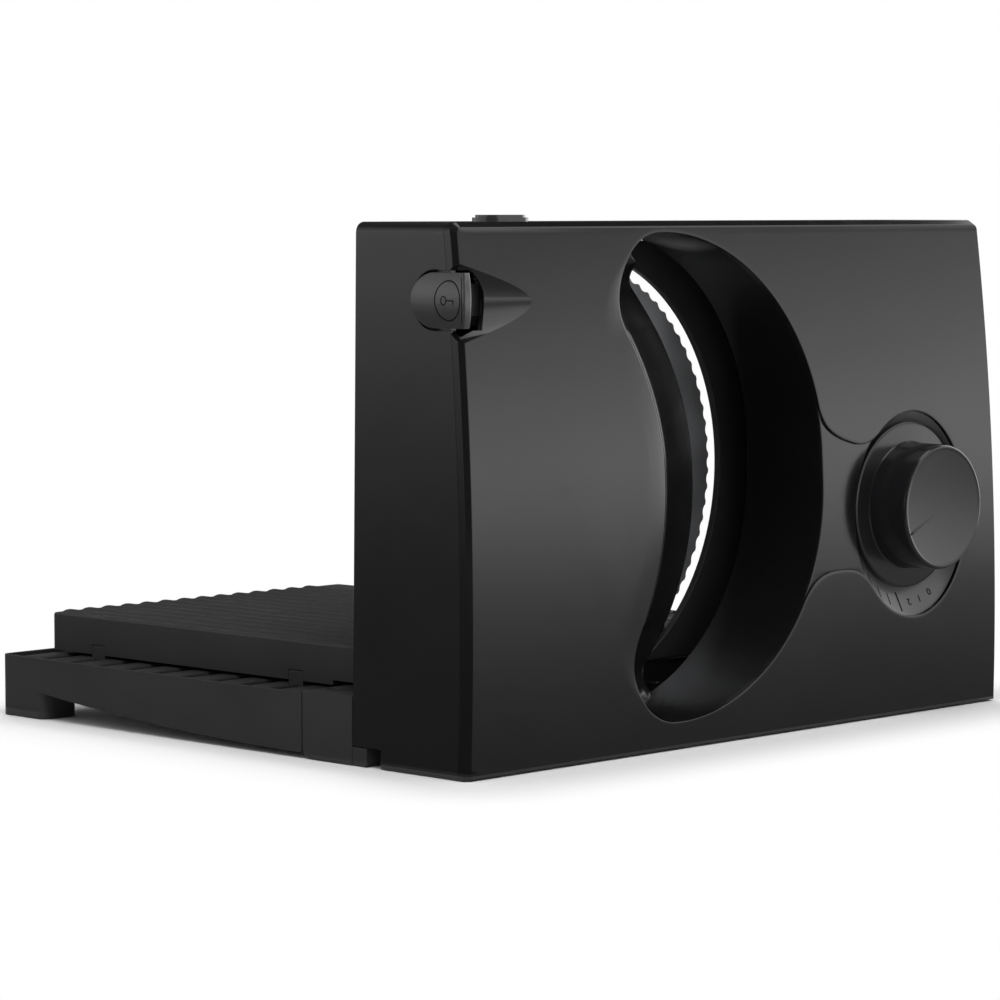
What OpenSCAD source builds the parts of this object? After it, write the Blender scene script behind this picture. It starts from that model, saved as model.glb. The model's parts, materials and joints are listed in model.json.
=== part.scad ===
// Electric food slicer with a bowed housing, a toothed round blade, a thickness dial and a sliding carriage.
// Drawn from the lower left front corner of the housing: X to the right, Y to the back, Z up, in mm.

/* [Housing] */
// Width of the housing at its foot
body_w = 322; // [318:1:336]
// Height of the housing above the table
body_h = 205; // [205:0.5:210]
// Depth of the housing from its foremost line to its back
body_d = 61.5; // [61:0.5:64]
// How far each side leans in at the top
side_draft = 2.5; // [1:0.5:3.5]
// Radius of the bow of the front, seen from the side
bow_r = 1300; // [1200:50:1600]
// Height of the foremost line of the bow
bow_z = 40; // [34:1:44]
// Wall of the rear shell and of the tray
wall = 2.5; // [2.2:0.1:2.6]
// Rounding of the two upper corners
edge_r = 4; // [3.5:0.5:5]
// Thickness of the front cover
cover_t = 2.8; // [2.6:0.1:3]
// Depth of the rim round the front cover
rim_d = 5; // [4.5:0.5:5.5]
// Width of the groove that marks the seam
seam_w = 2.4; // [1.8:0.1:2.8]
// Depth of the groove that marks the seam
seam_in = 1.2; // [0.8:0.1:1.4]
// Height of the rubber feet
foot_h = 1.2; // [1:0.1:1.4]

/* [Slice opening] */
// Middle of the opening's round right side
open_x = 118.5; // [117:0.5:119]
// Middle height of the opening
open_z = 105.8; // [105:0.1:106]
// Radius of the opening's round right side
open_r = 88.8; // [87.5:0.1:89]
// Straight run between the upper and the lower arc
open_run = 12; // [10:0.5:12]
// Rounding of the upper and the lower end
open_end_r = 25; // [23:0.5:26]
// Centre of the left rim's arc
rim_x = -8.7; // [-10:0.1:-8]
// Radius of the left rim's arc
rim_r = 118.3; // [117:0.1:119]
// Centre of the inner lip's arc
lip_x = 39; // [38:0.5:40]
// Radius of the inner lip's arc
lip_r = 102.7; // [102:0.1:103.5]
// Depth of the inner lip behind the front
lip_in = 15; // [13:0.5:16]
// Thickness of the sloping band and of the partition
band_t = 2; // [1.8:0.1:2.4]
// Wall of the chute on the right
chute_wall = 1.5; // [1.2:0.1:1.6]
// Depth of the shallow neck between the opening and the dial
neck_in = 1.1; // [0.6:0.1:1.4]
// Radius of the neck's upper curve
neck_up_r = 23; // [20:1:25]
// Radius of the neck's lower curve
neck_low_r = 26; // [23:1:27]

/* [Blade] */
// Radius of the blade over its teeth
blade_r = 85; // [83.5:0.5:85.5]
// Thickness of the blade
blade_t = 1.5; // [1.2:0.1:1.8]
// Number of teeth round the blade
blade_teeth = 80; // [70:2:84]
// Depth of the hollows between the teeth
tooth_in = 1; // [0.6:0.1:1.3]
// Width of the ground bevel
bevel_w = 10; // [8:1:12]
// Blade axis from the left side
axis_x = 119; // [118.5:0.1:119.5]
// Height of the blade axis
axis_z = 105; // [104.5:0.1:105.5]
// Radius of the spindle
spindle_r = 5; // [4.5:0.1:5.5]
// Radius of the drive flange behind the blade
hub_r = 16; // [14:0.5:17]

/* [Drive] */
// Number of teeth on the driven gear
gear_n = 36; // [36:36:36]
// Tooth pitch of the gear, and lead of the worm
gear_pitch = 5; // [4.9:0.1:5]
// Width of the gear
gear_w = 8; // [7:0.5:8]
// Front face of the gear
gear_y = 32; // [31.5:0.5:32.5]
// Pitch radius of the worm
worm_r = 8; // [7.8:0.1:8.4]
// Radius of the motor shaft
shaft_r = 2.5; // [2.2:0.1:2.8]
// Radius of the motor can
motor_r = 20; // [18:0.5:20.5]
// Height of the motor can above the table
motor_z = 29; // [28.5:0.5:30]
// Length of the motor can
motor_l = 42; // [40:1:42]

/* [Thickness setting] */
// Knob axis from the right side
knob_in = 56; // [54:0.5:58]
// Height of the knob axis
knob_z = 87; // [85:0.5:90]
// Radius of the knob's grip
knob_r = 25.75; // [23:0.25:27]
// How far the knob stands out in front of the housing
knob_out = 14; // [11:0.5:18]
// Radius of the knob's skirt
skirt_r = 34.5; // [31:0.5:36]
// Radius of the dial dish at the front
dial_r = 43.5; // [42:0.5:44.5]
// Radius of the dial dish at its floor
dial_floor_r = 38; // [37:0.5:39]
// Depth of the dial dish
dial_in = 8; // [7.5:0.5:8.5]
// How far the dish's centre lies below the knob axis
dial_drop = 2.5; // [1.5:0.5:2.5]
// Thickest slice
cut_max = 15; // [12:0.5:15]
// Slice thickness set at rest
cut_rest = 2; // [1:0.5:3]
// Travel of the guide plate for one turn of the knob
cam_lead = 20; // [20:1:20]
// Radius of the cam sleeve
cam_r = 9; // [8.5:0.5:9.5]
// Thickness of the guide plate
guide_t = 3; // [2.6:0.1:3.2]
// Gap between the blade's teeth and the guide plate
guide_gap = 3; // [2.5:0.1:4]
// Radius of the guide rods
rod_r = 3; // [2.5:0.1:3.5]

/* [Buttons] */
// Length of the power button across the housing
power_l = 24; // [20:1:28]
// Width of the power button
power_w = 15; // [12:0.5:18]
// Power button from the left side
power_x = 54; // [48:1:60]
// Power button behind the front
power_y = 36; // [34:0.5:40]
// Height of the power button above the housing
power_up = 2.5; // [1.5:0.1:3.5]
// Travel of the power button
power_go = 2.5; // [1.5:0.1:2.5]
// Lock button's middle below the top of the housing
lock_down = 28.7; // [27:0.1:30]
// Height of the lock button from edge to edge
lock_h = 21.4; // [20:0.2:22]
// Front end of the lock button
lock_front = 8.6; // [8.4:0.1:9]
// Rear end of the lock button
lock_back = 30.5; // [29.5:0.5:32]
// How far the lock button bulges out of the side
lock_bulge = 2; // [1:0.1:2]
// Travel of the lock button
lock_go = 3; // [2:0.1:3]

/* [Tray and carriage] */
// Rear end of the base block
block_end = 89.5; // [87:0.5:92]
// Height of the base block
block_h = 24; // [23:0.2:24.4]
// Far end of the tray
tray_end = 273; // [262:0.5:284]
// Height of the tray between its ribs
tray_h = 23.3; // [22.6:0.1:23.8]
// Height of the tray's underside where it meets the block
tray_low = 2.3; // [1.8:0.1:3]
// Radius of the arch under the tray
arch_r = 1400; // [1300:50:1800]
// Spacing of the tray's ribs
rib_pitch = 17.4; // [17:0.1:18]
// Height of the tray's ribs
rib_up = 1.7; // [1.2:0.1:1.9]
// Height of the rails' tops
rail_top = 30.5; // [29.5:0.1:31]
// Width of each rail
rail_w = 8; // [7:0.2:9]
// Left end of the carriage at rest
car_x = 18; // [16:0.5:20]
// Length of the carriage along the housing
car_l = 165; // [155:1:165]
// Gap between the housing's back and the carriage
car_gap = 3; // [2.6:0.1:4]
// Far side of the carriage
car_end = 261; // [254:0.5:263]
// Thickness of the carriage between its ribs
car_h = 11; // [10:0.5:12]
// Spacing of the carriage's ribs
car_pitch = 10.5; // [10:0.1:11]
// Height of the thumb guard above the carriage
guard_h = 72; // [60:1:80]
// Length of the thumb guard
guard_l = 104; // [90:1:110]

/* [Hidden] */
$fn = 96;

// Clearances
run = 0.05;
fit = 0.02;
gap = 0.3;
joint_gap = 0.2;

// Back wall and blade, counted from the back of the housing
back_in = body_d - wall;
pad_in = body_d - 4;
pocket_y = body_d - 1.5;
blade_in = body_d - 0.7;
blade_out = blade_in + blade_t;
pocket_r = blade_r + 2;
pad_r = pocket_r + wall;
cup_r = hub_r + 2;
cup_y = body_d - 9;

// Drive
gear_r = gear_n * gear_pitch / (2 * PI);
gear_tip = gear_r + 1.5;
gear_root = gear_r - 2.2;
worm_tip = worm_r + 1.4;
worm_root = worm_r - 2.2;
motor_x = axis_x - gear_r - worm_r;
motor_y = gear_y + gear_w / 2;
gear_case_r = gear_tip + 2.8;
case_y = gear_y - 4.5;
part_y = case_y - 0.7;

// Guide plate at rest
guide_face = blade_out - cut_rest;
guide_in = guide_face - guide_t;
chute_end = blade_out - cut_max - guide_t - 1;
win_l = axis_x + 29;
win_r = body_w - 24;
win_b = block_h + 1.5;
win_t = axis_z + 93;
knob_x = body_w - knob_in;
dial_z = knob_z - dial_drop;
pin_y = blade_out - 26.3 - cut_rest;
cam_over = 20;
cam_front = pin_y + cut_rest - 21;
cam_back = pin_y + cut_rest + 5.5;
stub_y = 8.2 - knob_out;
bush_r = 6.95;
bush_rim = 9;
rods = [[win_l + 87, axis_z + 65], [win_r - 10, axis_z + 65], [knob_x - 4, win_b + 10.5]];

// Housing screws
posts = [[12, 14], [12, body_h - 11], [body_w - 14, 14], [body_w - 14, body_h - 14]];
post_y = 17;
lugs = [30, body_w / 2, body_w - 30];
lug_y = body_d - 8.5;
notch_y = body_d - 15.1;
notch_h = 7.5;
tongue_y = body_d - 7.5;
tongue_h = notch_h - 0.2;
block_y = body_d + 0.2;
ties = [40, body_w / 2, body_w - 40];
tie_z = 12;

// Buttons
lock_z = body_h - lock_down;
lock_x = side_draft * lock_z / body_h;
lock_axis_y = 22;
lock_half = lock_h / 2;
lock_bow_r = (pow(lock_half, 2) + pow(lock_bulge, 2)) / (2 * lock_bulge);
lock_in = 8;
lock_room = lock_in + lock_go + 0.6;
scoop_z = lock_z;
scoop_r = 18.2;
scoop_out = 9;
lock_nose = 5.5;
power_seat = body_h - wall;
switch_top = body_h - 15;

// Tray and carriage
car_y = body_d + car_gap;
car_z = rail_top + 0.6;
car_top = car_z + car_h;
car_roof = car_top - 3;
rails = [block_end + 22.5, tray_end - 42];
guard_x = car_x + car_l - 9;
guard_y = car_y + 5.5;
guard_r = 12;
guard_screw = 16;
leg_y = tray_end - 28.5;
leg_w = 19;
rib_in = 1.5;
mid_y = (tray_end - knob_out) / 2;

// Bow of the front at a height
function bow(z) = bow_r - sqrt(pow(bow_r, 2) - pow(z - bow_z, 2));

// Upper crossing of two circles
function meet(c1, r1, c2, r2) =
    let (d = norm(c2 - c1), u = (c2 - c1) / d)
    let (a = (r1 * r1 - r2 * r2 + d * d) / (2 * d), h = sqrt(r1 * r1 - a * a))
    c1 + a * u + h * [-u[1], u[0]];

// Arc as a list of points
function arc(c, r, a0, a1, n) = [for (i = [0:n]) c + r * [cos(a0 + (a1 - a0) * i / n), sin(a0 + (a1 - a0) * i / n)]];

// Housing seen from the front, drawn in by an inset
function outline(inset) =
    let (r = max(edge_r - inset, 0.6), l = inset + side_draft, t = body_h - inset)
    concat([[inset, foot_h + inset], [body_w - inset, foot_h + inset]],
        arc([body_w - l - r, t - r], r, 0, 90, 8), arc([l + r, t - r], r, 90, 180, 8));

// Centre of the opening's upper rounded end, with heights counted from the opening's middle
end_c = meet([rim_x, 0], rim_r + open_end_r, [open_x, open_run / 2], open_r - open_end_r);
end_top = (end_c - [open_x, open_run / 2]) / norm(end_c - [open_x, open_run / 2]);
end_rim = ([rim_x, 0] - end_c) / norm([rim_x, 0] - end_c);
end_tip = (end_top + end_rim) / norm(end_top + end_rim);
rim_turn = end_c[1] + open_end_r * end_rim[1];
band_top = meet([lip_x, 0], lip_r, end_c, open_end_r)[1];

// Left side of the opening, and the lip, at a height counted from the opening's middle
function left_side(h) = abs(h) <= rim_turn
    ? rim_x + sqrt(rim_r * rim_r - h * h)
    : end_c[0] - sqrt(max(pow(open_end_r, 2) - pow(abs(h) - end_c[1], 2), 0));
function lip_side(h) = lip_x + sqrt(lip_r * lip_r - h * h);

// Right end of the motor's cradle, short of the partition
cradle_x = min(motor_x + motor_r + 3, lip_side(motor_z + 5 - open_z) - band_t - 0.5);

// Moves a piece to the shared origin under the middle of the whole slicer
module place() {
    translate([-body_w / 2, -mid_y, 0]) children();
}

// Flat drawing of the front, drawn out along Y
module slab_y(y0, y1) {
    translate([0, y1, 0]) rotate([90, 0, 0]) linear_extrude(y1 - y0) children();
}

// Flat drawing of the side, drawn out along X
module slab_x(x0, x1) {
    translate([x0, 0, 0]) rotate([90, 0, 90]) linear_extrude(x1 - x0) children();
}

// Round bar along Y
module rod_y(r, x, z, y0, y1) {
    translate([x, y0, z]) rotate([-90, 0, 0]) cylinder(r = r, h = y1 - y0);
}

// Round bar along X
module rod_x(r, y, z, x0, x1) {
    translate([x0, y, z]) rotate([0, 90, 0]) cylinder(r = r, h = x1 - x0);
}

// Turned piece with its axis along Y
module turned_y(x, z, points) {
    translate([x, 0, z]) rotate([-90, 0, 0]) rotate_extrude() polygon(points);
}

// Everything behind the bow of the front, set back by an offset
module behind_bow(offset_y) {
    translate([-20, bow_r, bow_z]) rotate([0, 90, 0]) cylinder(r = bow_r - offset_y, h = body_w + 40, $fn = 720);
}

// Block given by two corners
module block(a, b) {
    translate(a) cube(b - a);
}

// Oval with round ends
module oval(l, w) {
    square([l - w, w], center = true);
    for (s = [-1, 1]) translate([s * (l - w) / 2, 0]) circle(d = w);
}

// Rectangle with round corners
module round_rect(x0, y0, x1, y1, r) {
    translate([x0 + r, y0]) square([x1 - x0 - 2 * r, y1 - y0]);
    translate([x0, y0 + r]) square([x1 - x0, y1 - y0 - 2 * r]);
    for (x = [x0 + r, x1 - r], y = [y0 + r, y1 - r]) translate([x, y]) circle(r);
}

// Wire coil along Z from 0 to its height
module coil(r, wire, h, turns) {
    n = turns * 10;
    m = 6;
    points = [for (i = [0:n], j = [0:m - 1])
        let (a = 36 * i, b = 360 * j / m, q = r + wire * cos(b))
        [q * cos(a), q * sin(a), wire + (h - 2 * wire) * i / n + wire * sin(b)]];
    sides = [for (i = [0:n - 1], j = [0:m - 1], k = [0, 1])
        let (a = i * m + j, b = i * m + (j + 1) % m)
        k == 0 ? [a, b, b + m] : [a, b + m, a + m]];
    caps = [[for (j = [m - 1:-1:0]) j], [for (j = [0:m - 1]) n * m + j]];
    polyhedron(points, concat(sides, caps), convexity = 10);
}

// Front view of the slice opening, grown all round
module opening(grow) {
    translate([0, open_z]) {
        difference() {
            union() {
                for (s = [-1, 1]) translate([open_x, s * open_run / 2]) circle(open_r + grow);
                translate([open_x - open_r - grow, -open_run / 2]) square([2 * open_r + 2 * grow, open_run]);
            }
            translate([rim_x, 0]) circle(rim_r - grow);
            for (s = [0, 1]) mirror([0, s]) polygon([end_c, end_c + 60 * end_top, end_c + 120 * end_tip,
                end_c + 60 * end_rim]);
        }
        for (s = [0, 1]) mirror([0, s]) translate(end_c) circle(open_end_r + grow);
    }
}

// Front view of the chute's wall, left out behind the sloping band
module chute_ring() {
    difference() {
        opening(chute_wall);
        opening(0);
        translate([lip_x, open_z]) circle(lip_r + 0.2);
    }
}

// Sloping band from behind the left rim down to the lip, and the partition behind the lip
module exit_lip() {
    n = 36;
    m = 7;
    c = cover_t + 0.1;
    rows = [for (i = [0:n])
        let (h = band_top * sin(-80 + 160 * i / n), z = open_z + h, x0 = left_side(h), x1 = lip_side(h))
        let (y = bow(z), d = max(lip_in * min(1, (x1 - x0) / 14), c + 0.3))
        [[x0 - 2.5, y + c, z], [x0 + 0.2, y + c, z], [x1, y + d, z], [x1, part_y, z], [x1 - band_t, part_y, z],
            [x1 - band_t, y + d + band_t * 0.8, z], [x0 - 2.5, y + c + band_t * 1.1, z]]];
    points = [for (r = rows, p = r) p];
    sides = [for (i = [0:n - 1], j = [0:m - 1], k = [0, 1])
        let (a = i * m + j, b = i * m + (j + 1) % m)
        k == 0 ? [a, a + m, b + m] : [a, b + m, b]];
    caps = [[for (j = [0:m - 1]) j], [for (j = [m - 1:-1:0]) n * m + j]];
    place() color("#17181a") polyhedron(points, concat(sides, caps), convexity = 10);
}

// Neck between the opening and the dial, seen from the front, bounded by arcs that just cut into both
module neck() {
    up = [open_x, open_z + open_run / 2];
    low = [open_x, open_z - open_run / 2];
    dial = [knob_x, dial_z];
    above = meet(up, open_r + neck_up_r - 0.5, dial, dial_r + neck_up_r - 2.2);
    below = meet(dial, dial_r + neck_low_r - 0.8, low, open_r + neck_low_r - 0.5);
    difference() {
        polygon([up, low, below, dial, above]);
        translate(above) circle(neck_up_r);
        translate(below) circle(neck_low_r);
    }
}

// Dish round the knob
module dish(grow, y0, y1) {
    slope = (dial_r - dial_floor_r) / dial_in;
    turned_y(knob_x, dial_z, [[0, y0], [dial_r + grow - slope * y0, y0], [dial_floor_r + grow, y1], [0, y1]]);
}

// Cone of the finger scoop beside the lock button
module scoop(grow) {
    translate([-1, bow(lock_z) - scoop_out, scoop_z]) rotate([0, 90, 0])
        cylinder(r1 = scoop_r + grow, r2 = scoop_out - 0.35 + grow, h = 43);
}

// Side view of the lock button, grown all round
module lock_side(grow) {
    translate([lock_front - grow, lock_z - lock_half - grow])
        square([lock_back - lock_half - lock_front + grow, lock_h + 2 * grow]);
    translate([lock_back - lock_half, lock_z]) circle(lock_half + grow);
}

module front_cover() {
    place() color("#17181a") difference() {
        union() {
            difference() {
                intersection() {
                    slab_y(-1, 40) polygon(outline(0));
                    behind_bow(0);
                }
                behind_bow(rim_d);
                intersection() {
                    slab_y(-2, 41) polygon(outline(wall));
                    behind_bow(cover_t);
                }
            }
            intersection() {
                behind_bow(0);
                union() {
                    slab_y(-1, chute_end) chute_ring();
                    dish(2.2, -1, dial_in + 2.5);
                    for (p = rods) rod_y(rod_r + 2.5, p[0], p[1], bow(p[1]) + 1, 20);
                    for (p = posts) rod_y(4, p[0], p[1], bow(p[1]) + 1, post_y - joint_gap);
                }
            }
            intersection() {
                behind_bow(0);
                block([lock_room, 0, lock_z - 20], [50, 40, lock_z + 20]);
                scoop(2);
            }
        }
        slab_y(-6, chute_end + 1) opening(0);
        dish(0, -4, dial_in);
        difference() {
            slab_y(-6, 12) neck();
            behind_bow(neck_in);
        }
        scoop(0);
        block([-2, -2, lock_z - lock_half - 0.4], [lock_room, bow(lock_z) + rim_d + 3, lock_z + lock_half + 0.4]);
        rod_y(bush_r + 0.05, knob_x, knob_z, 0, dial_in + 4);
        for (p = rods) rod_y(rod_r + fit, p[0], p[1], bow(p[1]) + cover_t + 1, 30);
        for (p = posts) rod_y(1.45 + fit, p[0], p[1], bow(p[1]) + cover_t + 0.2, 30);
    }
}

// Front view of the window in the back wall for the blade's edge and the guide plate
module window() {
    difference() {
        union() {
            translate([win_l, win_b]) square([win_r - win_l, win_t - win_b]);
            intersection() {
                translate([axis_x, axis_z]) circle(pocket_r);
                translate([axis_x, axis_z - 100]) square([100, 200]);
            }
        }
        translate([axis_x, axis_z]) circle(blade_r - 15);
    }
}

// Front view of the partition along the lip
module partition() {
    intersection() {
        difference() {
            translate([lip_x, open_z]) circle(lip_r);
            translate([lip_x, open_z]) circle(lip_r - band_t);
            translate([axis_x, axis_z]) circle(gear_case_r);
        }
        opening(-0.5);
    }
}

// Front view of the gear case where it stands out of the partition
module gear_case(r) {
    difference() {
        translate([axis_x, axis_z]) circle(gear_case_r + band_t);
        translate([axis_x, axis_z]) circle(r);
        translate([lip_x, open_z]) circle(lip_r - band_t + 0.5);
    }
}

module rear_shell() {
    place() color("#17181a") difference() {
        union() {
            difference() {
                intersection() {
                    slab_y(0, body_d) polygon(outline(0));
                    behind_bow(rim_d + joint_gap);
                }
                slab_y(-1, back_in) polygon(outline(wall));
                difference() {
                    slab_y(-1, 30) polygon(outline(-2));
                    slab_y(-2, 31) polygon(outline(seam_in));
                    behind_bow(rim_d + seam_w);
                }
                block([-1, notch_y, 0], [body_w + 1, body_d + 1, notch_h]);
            }
            block([wall - 0.5, notch_y - wall, notch_h], [body_w - wall + 0.5, back_in + 0.5, notch_h + wall]);
            block([wall - 0.5, notch_y - wall, foot_h], [body_w - wall + 0.5, notch_y, notch_h + wall]);
            rod_y(pad_r, axis_x, axis_z, pad_in, pocket_y);
            rod_y(cup_r + 2.5, axis_x, axis_z, cup_y - wall, pad_in + 0.5);
            rod_y(11, axis_x, axis_z, gear_y + gear_w + 2.5, cup_y);
            slab_y(part_y + 0.4, pad_in + 0.5) partition();
            slab_y(case_y, pad_in + 0.5) gear_case(gear_case_r);
            slab_y(case_y, case_y + 2.5) gear_case(1);
            for (p = posts) rod_y(5.5, p[0], p[1], post_y, back_in + 0.5);
            for (x = lugs) translate([x, lug_y, notch_h]) cylinder(r = 4.5, h = 11);
            block([power_x - 12, power_y - 7, switch_top - 15.5], [power_x + 12, back_in + 0.5, switch_top - 12]);
            block([17, 15.6, lock_z - 10], [32, back_in + 0.5, lock_z - 6]);
        }
        rod_y(pocket_r, axis_x, axis_z, pocket_y, body_d + 1);
        rod_y(cup_r, axis_x, axis_z, cup_y, body_d + 1);
        rod_y(8 + fit, axis_x, axis_z, gear_y, body_d);
        slab_y(pad_in - 0.1, body_d + 1) window();
        slab_x(-1, 12) lock_side(0.4);
        translate([power_x, power_y, power_seat - 1]) linear_extrude(wall + 2) oval(power_l + 0.8, power_w + 0.8);
        for (p = posts) rod_y(4, p[0], p[1], post_y + 3, body_d + 1);
        for (p = posts) rod_y(1.7, p[0], p[1], post_y - 1, body_d);
        for (x = lugs) translate([x, lug_y, notch_h - 1]) cylinder(r = 1.45 + fit, h = 11);
    }
}

// Side view of the base block
function block_side() = concat([[tongue_y, foot_h]], arc([block_end - 4, foot_h + 4], 4, -90, 0, 8),
    arc([block_end - 1, block_h - 1], 1, 0, 90, 4),
    [[block_y, block_h], [block_y, tongue_h], [tongue_y, tongue_h]]);

module base_block() {
    place() color("#1b1c1e") difference() {
        union() {
            difference() {
                slab_x(0, body_w) polygon(block_side());
                block([wall, block_y + wall, -1], [body_w - wall, block_end - wall, block_h - wall]);
            }
            for (x = lugs) block([x - 6, lug_y - 5, foot_h], [x + 6, tongue_y + 1, tongue_h]);
            for (x = [24, body_w - 24])
                translate([x, (block_y + block_end) / 2, foot_h]) cylinder(r = 9, h = block_h - foot_h - 1);
            intersection() {
                rod_x(8, block_end - 8, block_h - 7, 8, body_w - 8);
                block([0, block_end - 12, block_h - 0.5], [body_w, block_end - 4, block_h + 2]);
            }
        }
        for (x = lugs) translate([x, lug_y, 0]) cylinder(r = 3.6, h = 4);
        for (x = lugs) translate([x, lug_y, 0]) cylinder(r = 1.7, h = 20);
        for (x = ties) rod_y(1.7, x, tie_z, block_end - 8, block_end + 2);
    }
}

module tray() {
    place() color("#1b1c1e") difference() {
        union() {
            difference() {
                intersection() {
                    slab_x(0, body_w) intersection() {
                        translate([block_end, 0]) square([tray_end - block_end, tray_h]);
                        translate([block_end, tray_low + arch_r]) circle(arch_r, $fn = 720);
                    }
                    linear_extrude(60) round_rect(0, block_end - 20, body_w, tray_end, 5);
                }
                block([wall, block_end + wall, -1], [body_w - wall, tray_end - wall, tray_h - wall]);
            }
            translate([0, 0, foot_h]) linear_extrude(tray_h - foot_h - 0.5) {
                round_rect(0, leg_y, leg_w, tray_end, 5);
                round_rect(body_w - leg_w, leg_y, body_w, tray_end, 5);
            }
            intersection() {
                for (i = [0:floor((tray_end - block_end - 19) / rib_pitch)])
                    rod_x(15, block_end + 9.5 + i * rib_pitch, tray_h + rib_up - 15, rib_in, body_w - rib_in);
                block([0, block_end, tray_h - 0.5], [body_w, tray_end, tray_h + 5]);
            }
            for (y = rails) block([24, y - rail_w / 2, tray_h - 1], [body_w - 10, y + rail_w / 2, rail_top]);
            for (x = ties) rod_y(4.5, x, tie_z, block_end + 1, block_end + 10.5);
        }
        for (x = ties) rod_y(1.45 + fit, x, tie_z, block_end - 1, block_end + 9.5);
    }
}

module rubber_feet() {
    place() color("#2a2a2a") {
        for (x = [24, body_w - 24], y = [16, (block_y + block_end) / 2])
            translate([x, y, 0]) cylinder(r = 7, h = foot_h);
        for (x = [leg_w / 2, body_w - leg_w / 2]) translate([x, tray_end - 14, 0]) cylinder(r = 7, h = foot_h);
    }
}

// Screw along Z with its head at the bottom
module screw(l) {
    difference() {
        union() {
            cylinder(r = 3.2, h = 2.4);
            cylinder(r = 1.45, h = 2.4 + l);
        }
        for (a = [0, 90]) rotate(a) translate([-2, -0.4, -1]) cube([4, 0.8, 2.2]);
    }
}

module case_screws() {
    place() color("#9a9a9a") for (p = posts)
        translate([p[0], post_y + 5.4, p[1]]) rotate([90, 0, 0]) screw(post_y + 3 - bow(p[1]) - cover_t - 1.5);
}

module base_screws() {
    place() color("#9a9a9a") for (x = lugs) translate([x, lug_y, 1.6]) screw(12);
}

module tray_screws() {
    place() color("#9a9a9a") for (x = ties)
        translate([x, block_end - wall - 2.4, tie_z]) rotate([-90, 0, 0]) screw(11);
}

module motor_can() {
    place() color("#8f9296") translate([motor_x, motor_y, motor_z]) difference() {
        union() {
            cylinder(r = motor_r, h = motor_l);
            translate([0, 0, -3.5]) cylinder(r = 7, h = motor_l + 7);
        }
        translate([0, 0, 2]) cylinder(r = motor_r - 2.2, h = motor_l - 4);
        translate([0, 0, -5]) cylinder(r = shaft_r + run, h = motor_l + 10);
        for (a = [45:90:315]) rotate(a) translate([12.5, 0, motor_l - 3]) cylinder(r = 2.2, h = 5);
    }
}

module motor_cradle() {
    place() color("#3a3c3e") difference() {
        for (z = [motor_z + 5, motor_z + motor_l - 13])
            block([motor_x - motor_r - 4, motor_y, z], [cradle_x, pad_in, z + 6]);
        translate([motor_x, motor_y, 0]) cylinder(r = motor_r + fit, h = 100);
        difference() {
            block([0, pad_in - 3, 0], [motor_x, pad_in + 1, 100]);
            rod_y(pad_r - 1, axis_x, axis_z, 0, 100);
        }
    }
}

module worm_support() {
    place() color("#3a3c3e") difference() {
        block([motor_x - 10, motor_y - 8, axis_z + 21], [motor_x + 10, pad_in, axis_z + 29]);
        translate([motor_x, motor_y, 0]) cylinder(r = shaft_r + run, h = 200);
    }
}

module spindle_bush() {
    place() color("#b08d4a") turned_y(axis_x, axis_z, [[spindle_r + run, gear_y + gear_w + 2], [8, gear_y + gear_w + 2],
        [8, cup_y], [spindle_r + run, cup_y]]);
}

module knob_bush() {
    place() color("#d8d8d4") turned_y(knob_x, knob_z, [[4 + run, dial_in - 0.3], [bush_r, dial_in - 0.3],
        [bush_r, dial_in + 2.5], [bush_rim, dial_in + 2.5], [bush_rim, dial_in + 4.5], [4 + run, dial_in + 4.5]]);
}

module guide_rods() {
    place() color("#c4c6c8") for (p = rods)
        rod_y(rod_r, p[0], p[1], bow(p[1]) + cover_t + 1.2, guide_in + 1.1 - cut_max + cut_rest);
}

module power_switch() {
    place() color("#202226") translate([power_x, power_y, switch_top - 12]) {
        translate([-10, -5, 0]) cube([20, 10, 12]);
        translate([0, 0, 11]) cylinder(r = 1.5, h = 2.2);
        for (x = [-7, 0, 7]) translate([x - 0.4, 4, 3]) cube([0.8, 5, 3]);
    }
}

module lock_switch() {
    place() color("#202226") {
        block([18.5, lock_axis_y - 5, lock_z - 6], [30, lock_axis_y + 5, lock_z + 6]);
        rod_x(1.5, lock_axis_y, lock_z, 17.8, 20);
    }
}

module terminal_block() {
    place() color("#d9d7cf") difference() {
        block([20, 18, foot_h + wall], [44, 32, foot_h + wall + 12]);
        for (x = [24, 32, 40]) translate([x, 25, foot_h + wall + 4]) cylinder(r = 2.4, h = 20);
    }
}

module cord_gland() {
    place() color("#242424") difference() {
        block([7, notch_y + 0.2, foot_h + 0.1], [16, tongue_y - 0.2, notch_h]);
        rod_x(2.4, (notch_y + tongue_y) / 2, (foot_h + notch_h) / 2, 0, 30);
    }
}

module blade() {
    place() color("#c9ccd0") intersection() {
        turned_y(axis_x, axis_z, [[spindle_r + 0.1, blade_in], [blade_r, blade_in], [blade_r, blade_in + 0.35],
            [blade_r - bevel_w, blade_out], [spindle_r + 0.1, blade_out]]);
        slab_y(blade_in - 1, blade_out + 1) translate([axis_x, axis_z]) difference() {
            circle(blade_r);
            for (i = [0:blade_teeth - 1]) rotate(i * 360 / blade_teeth)
                translate([blade_r + 4 - tooth_in, 0]) circle(4, $fn = 32);
            for (a = [0, 180]) rotate(a) translate([10.5, 0]) circle(2.1);
        }
    }
}

module blade_cap() {
    place() color("#2b2d30") difference() {
        turned_y(axis_x, axis_z, [[0, blade_out - 6], [2.9, blade_out - 6], [2.9, blade_out], [17, blade_out],
            [17, blade_out + 0.6], [16.3, blade_out + 1.2], [0, blade_out + 1.2]]);
        translate([axis_x, blade_out + 1.2, axis_z]) cube([20, 1.4, 2.4], center = true);
    }
}

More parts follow.
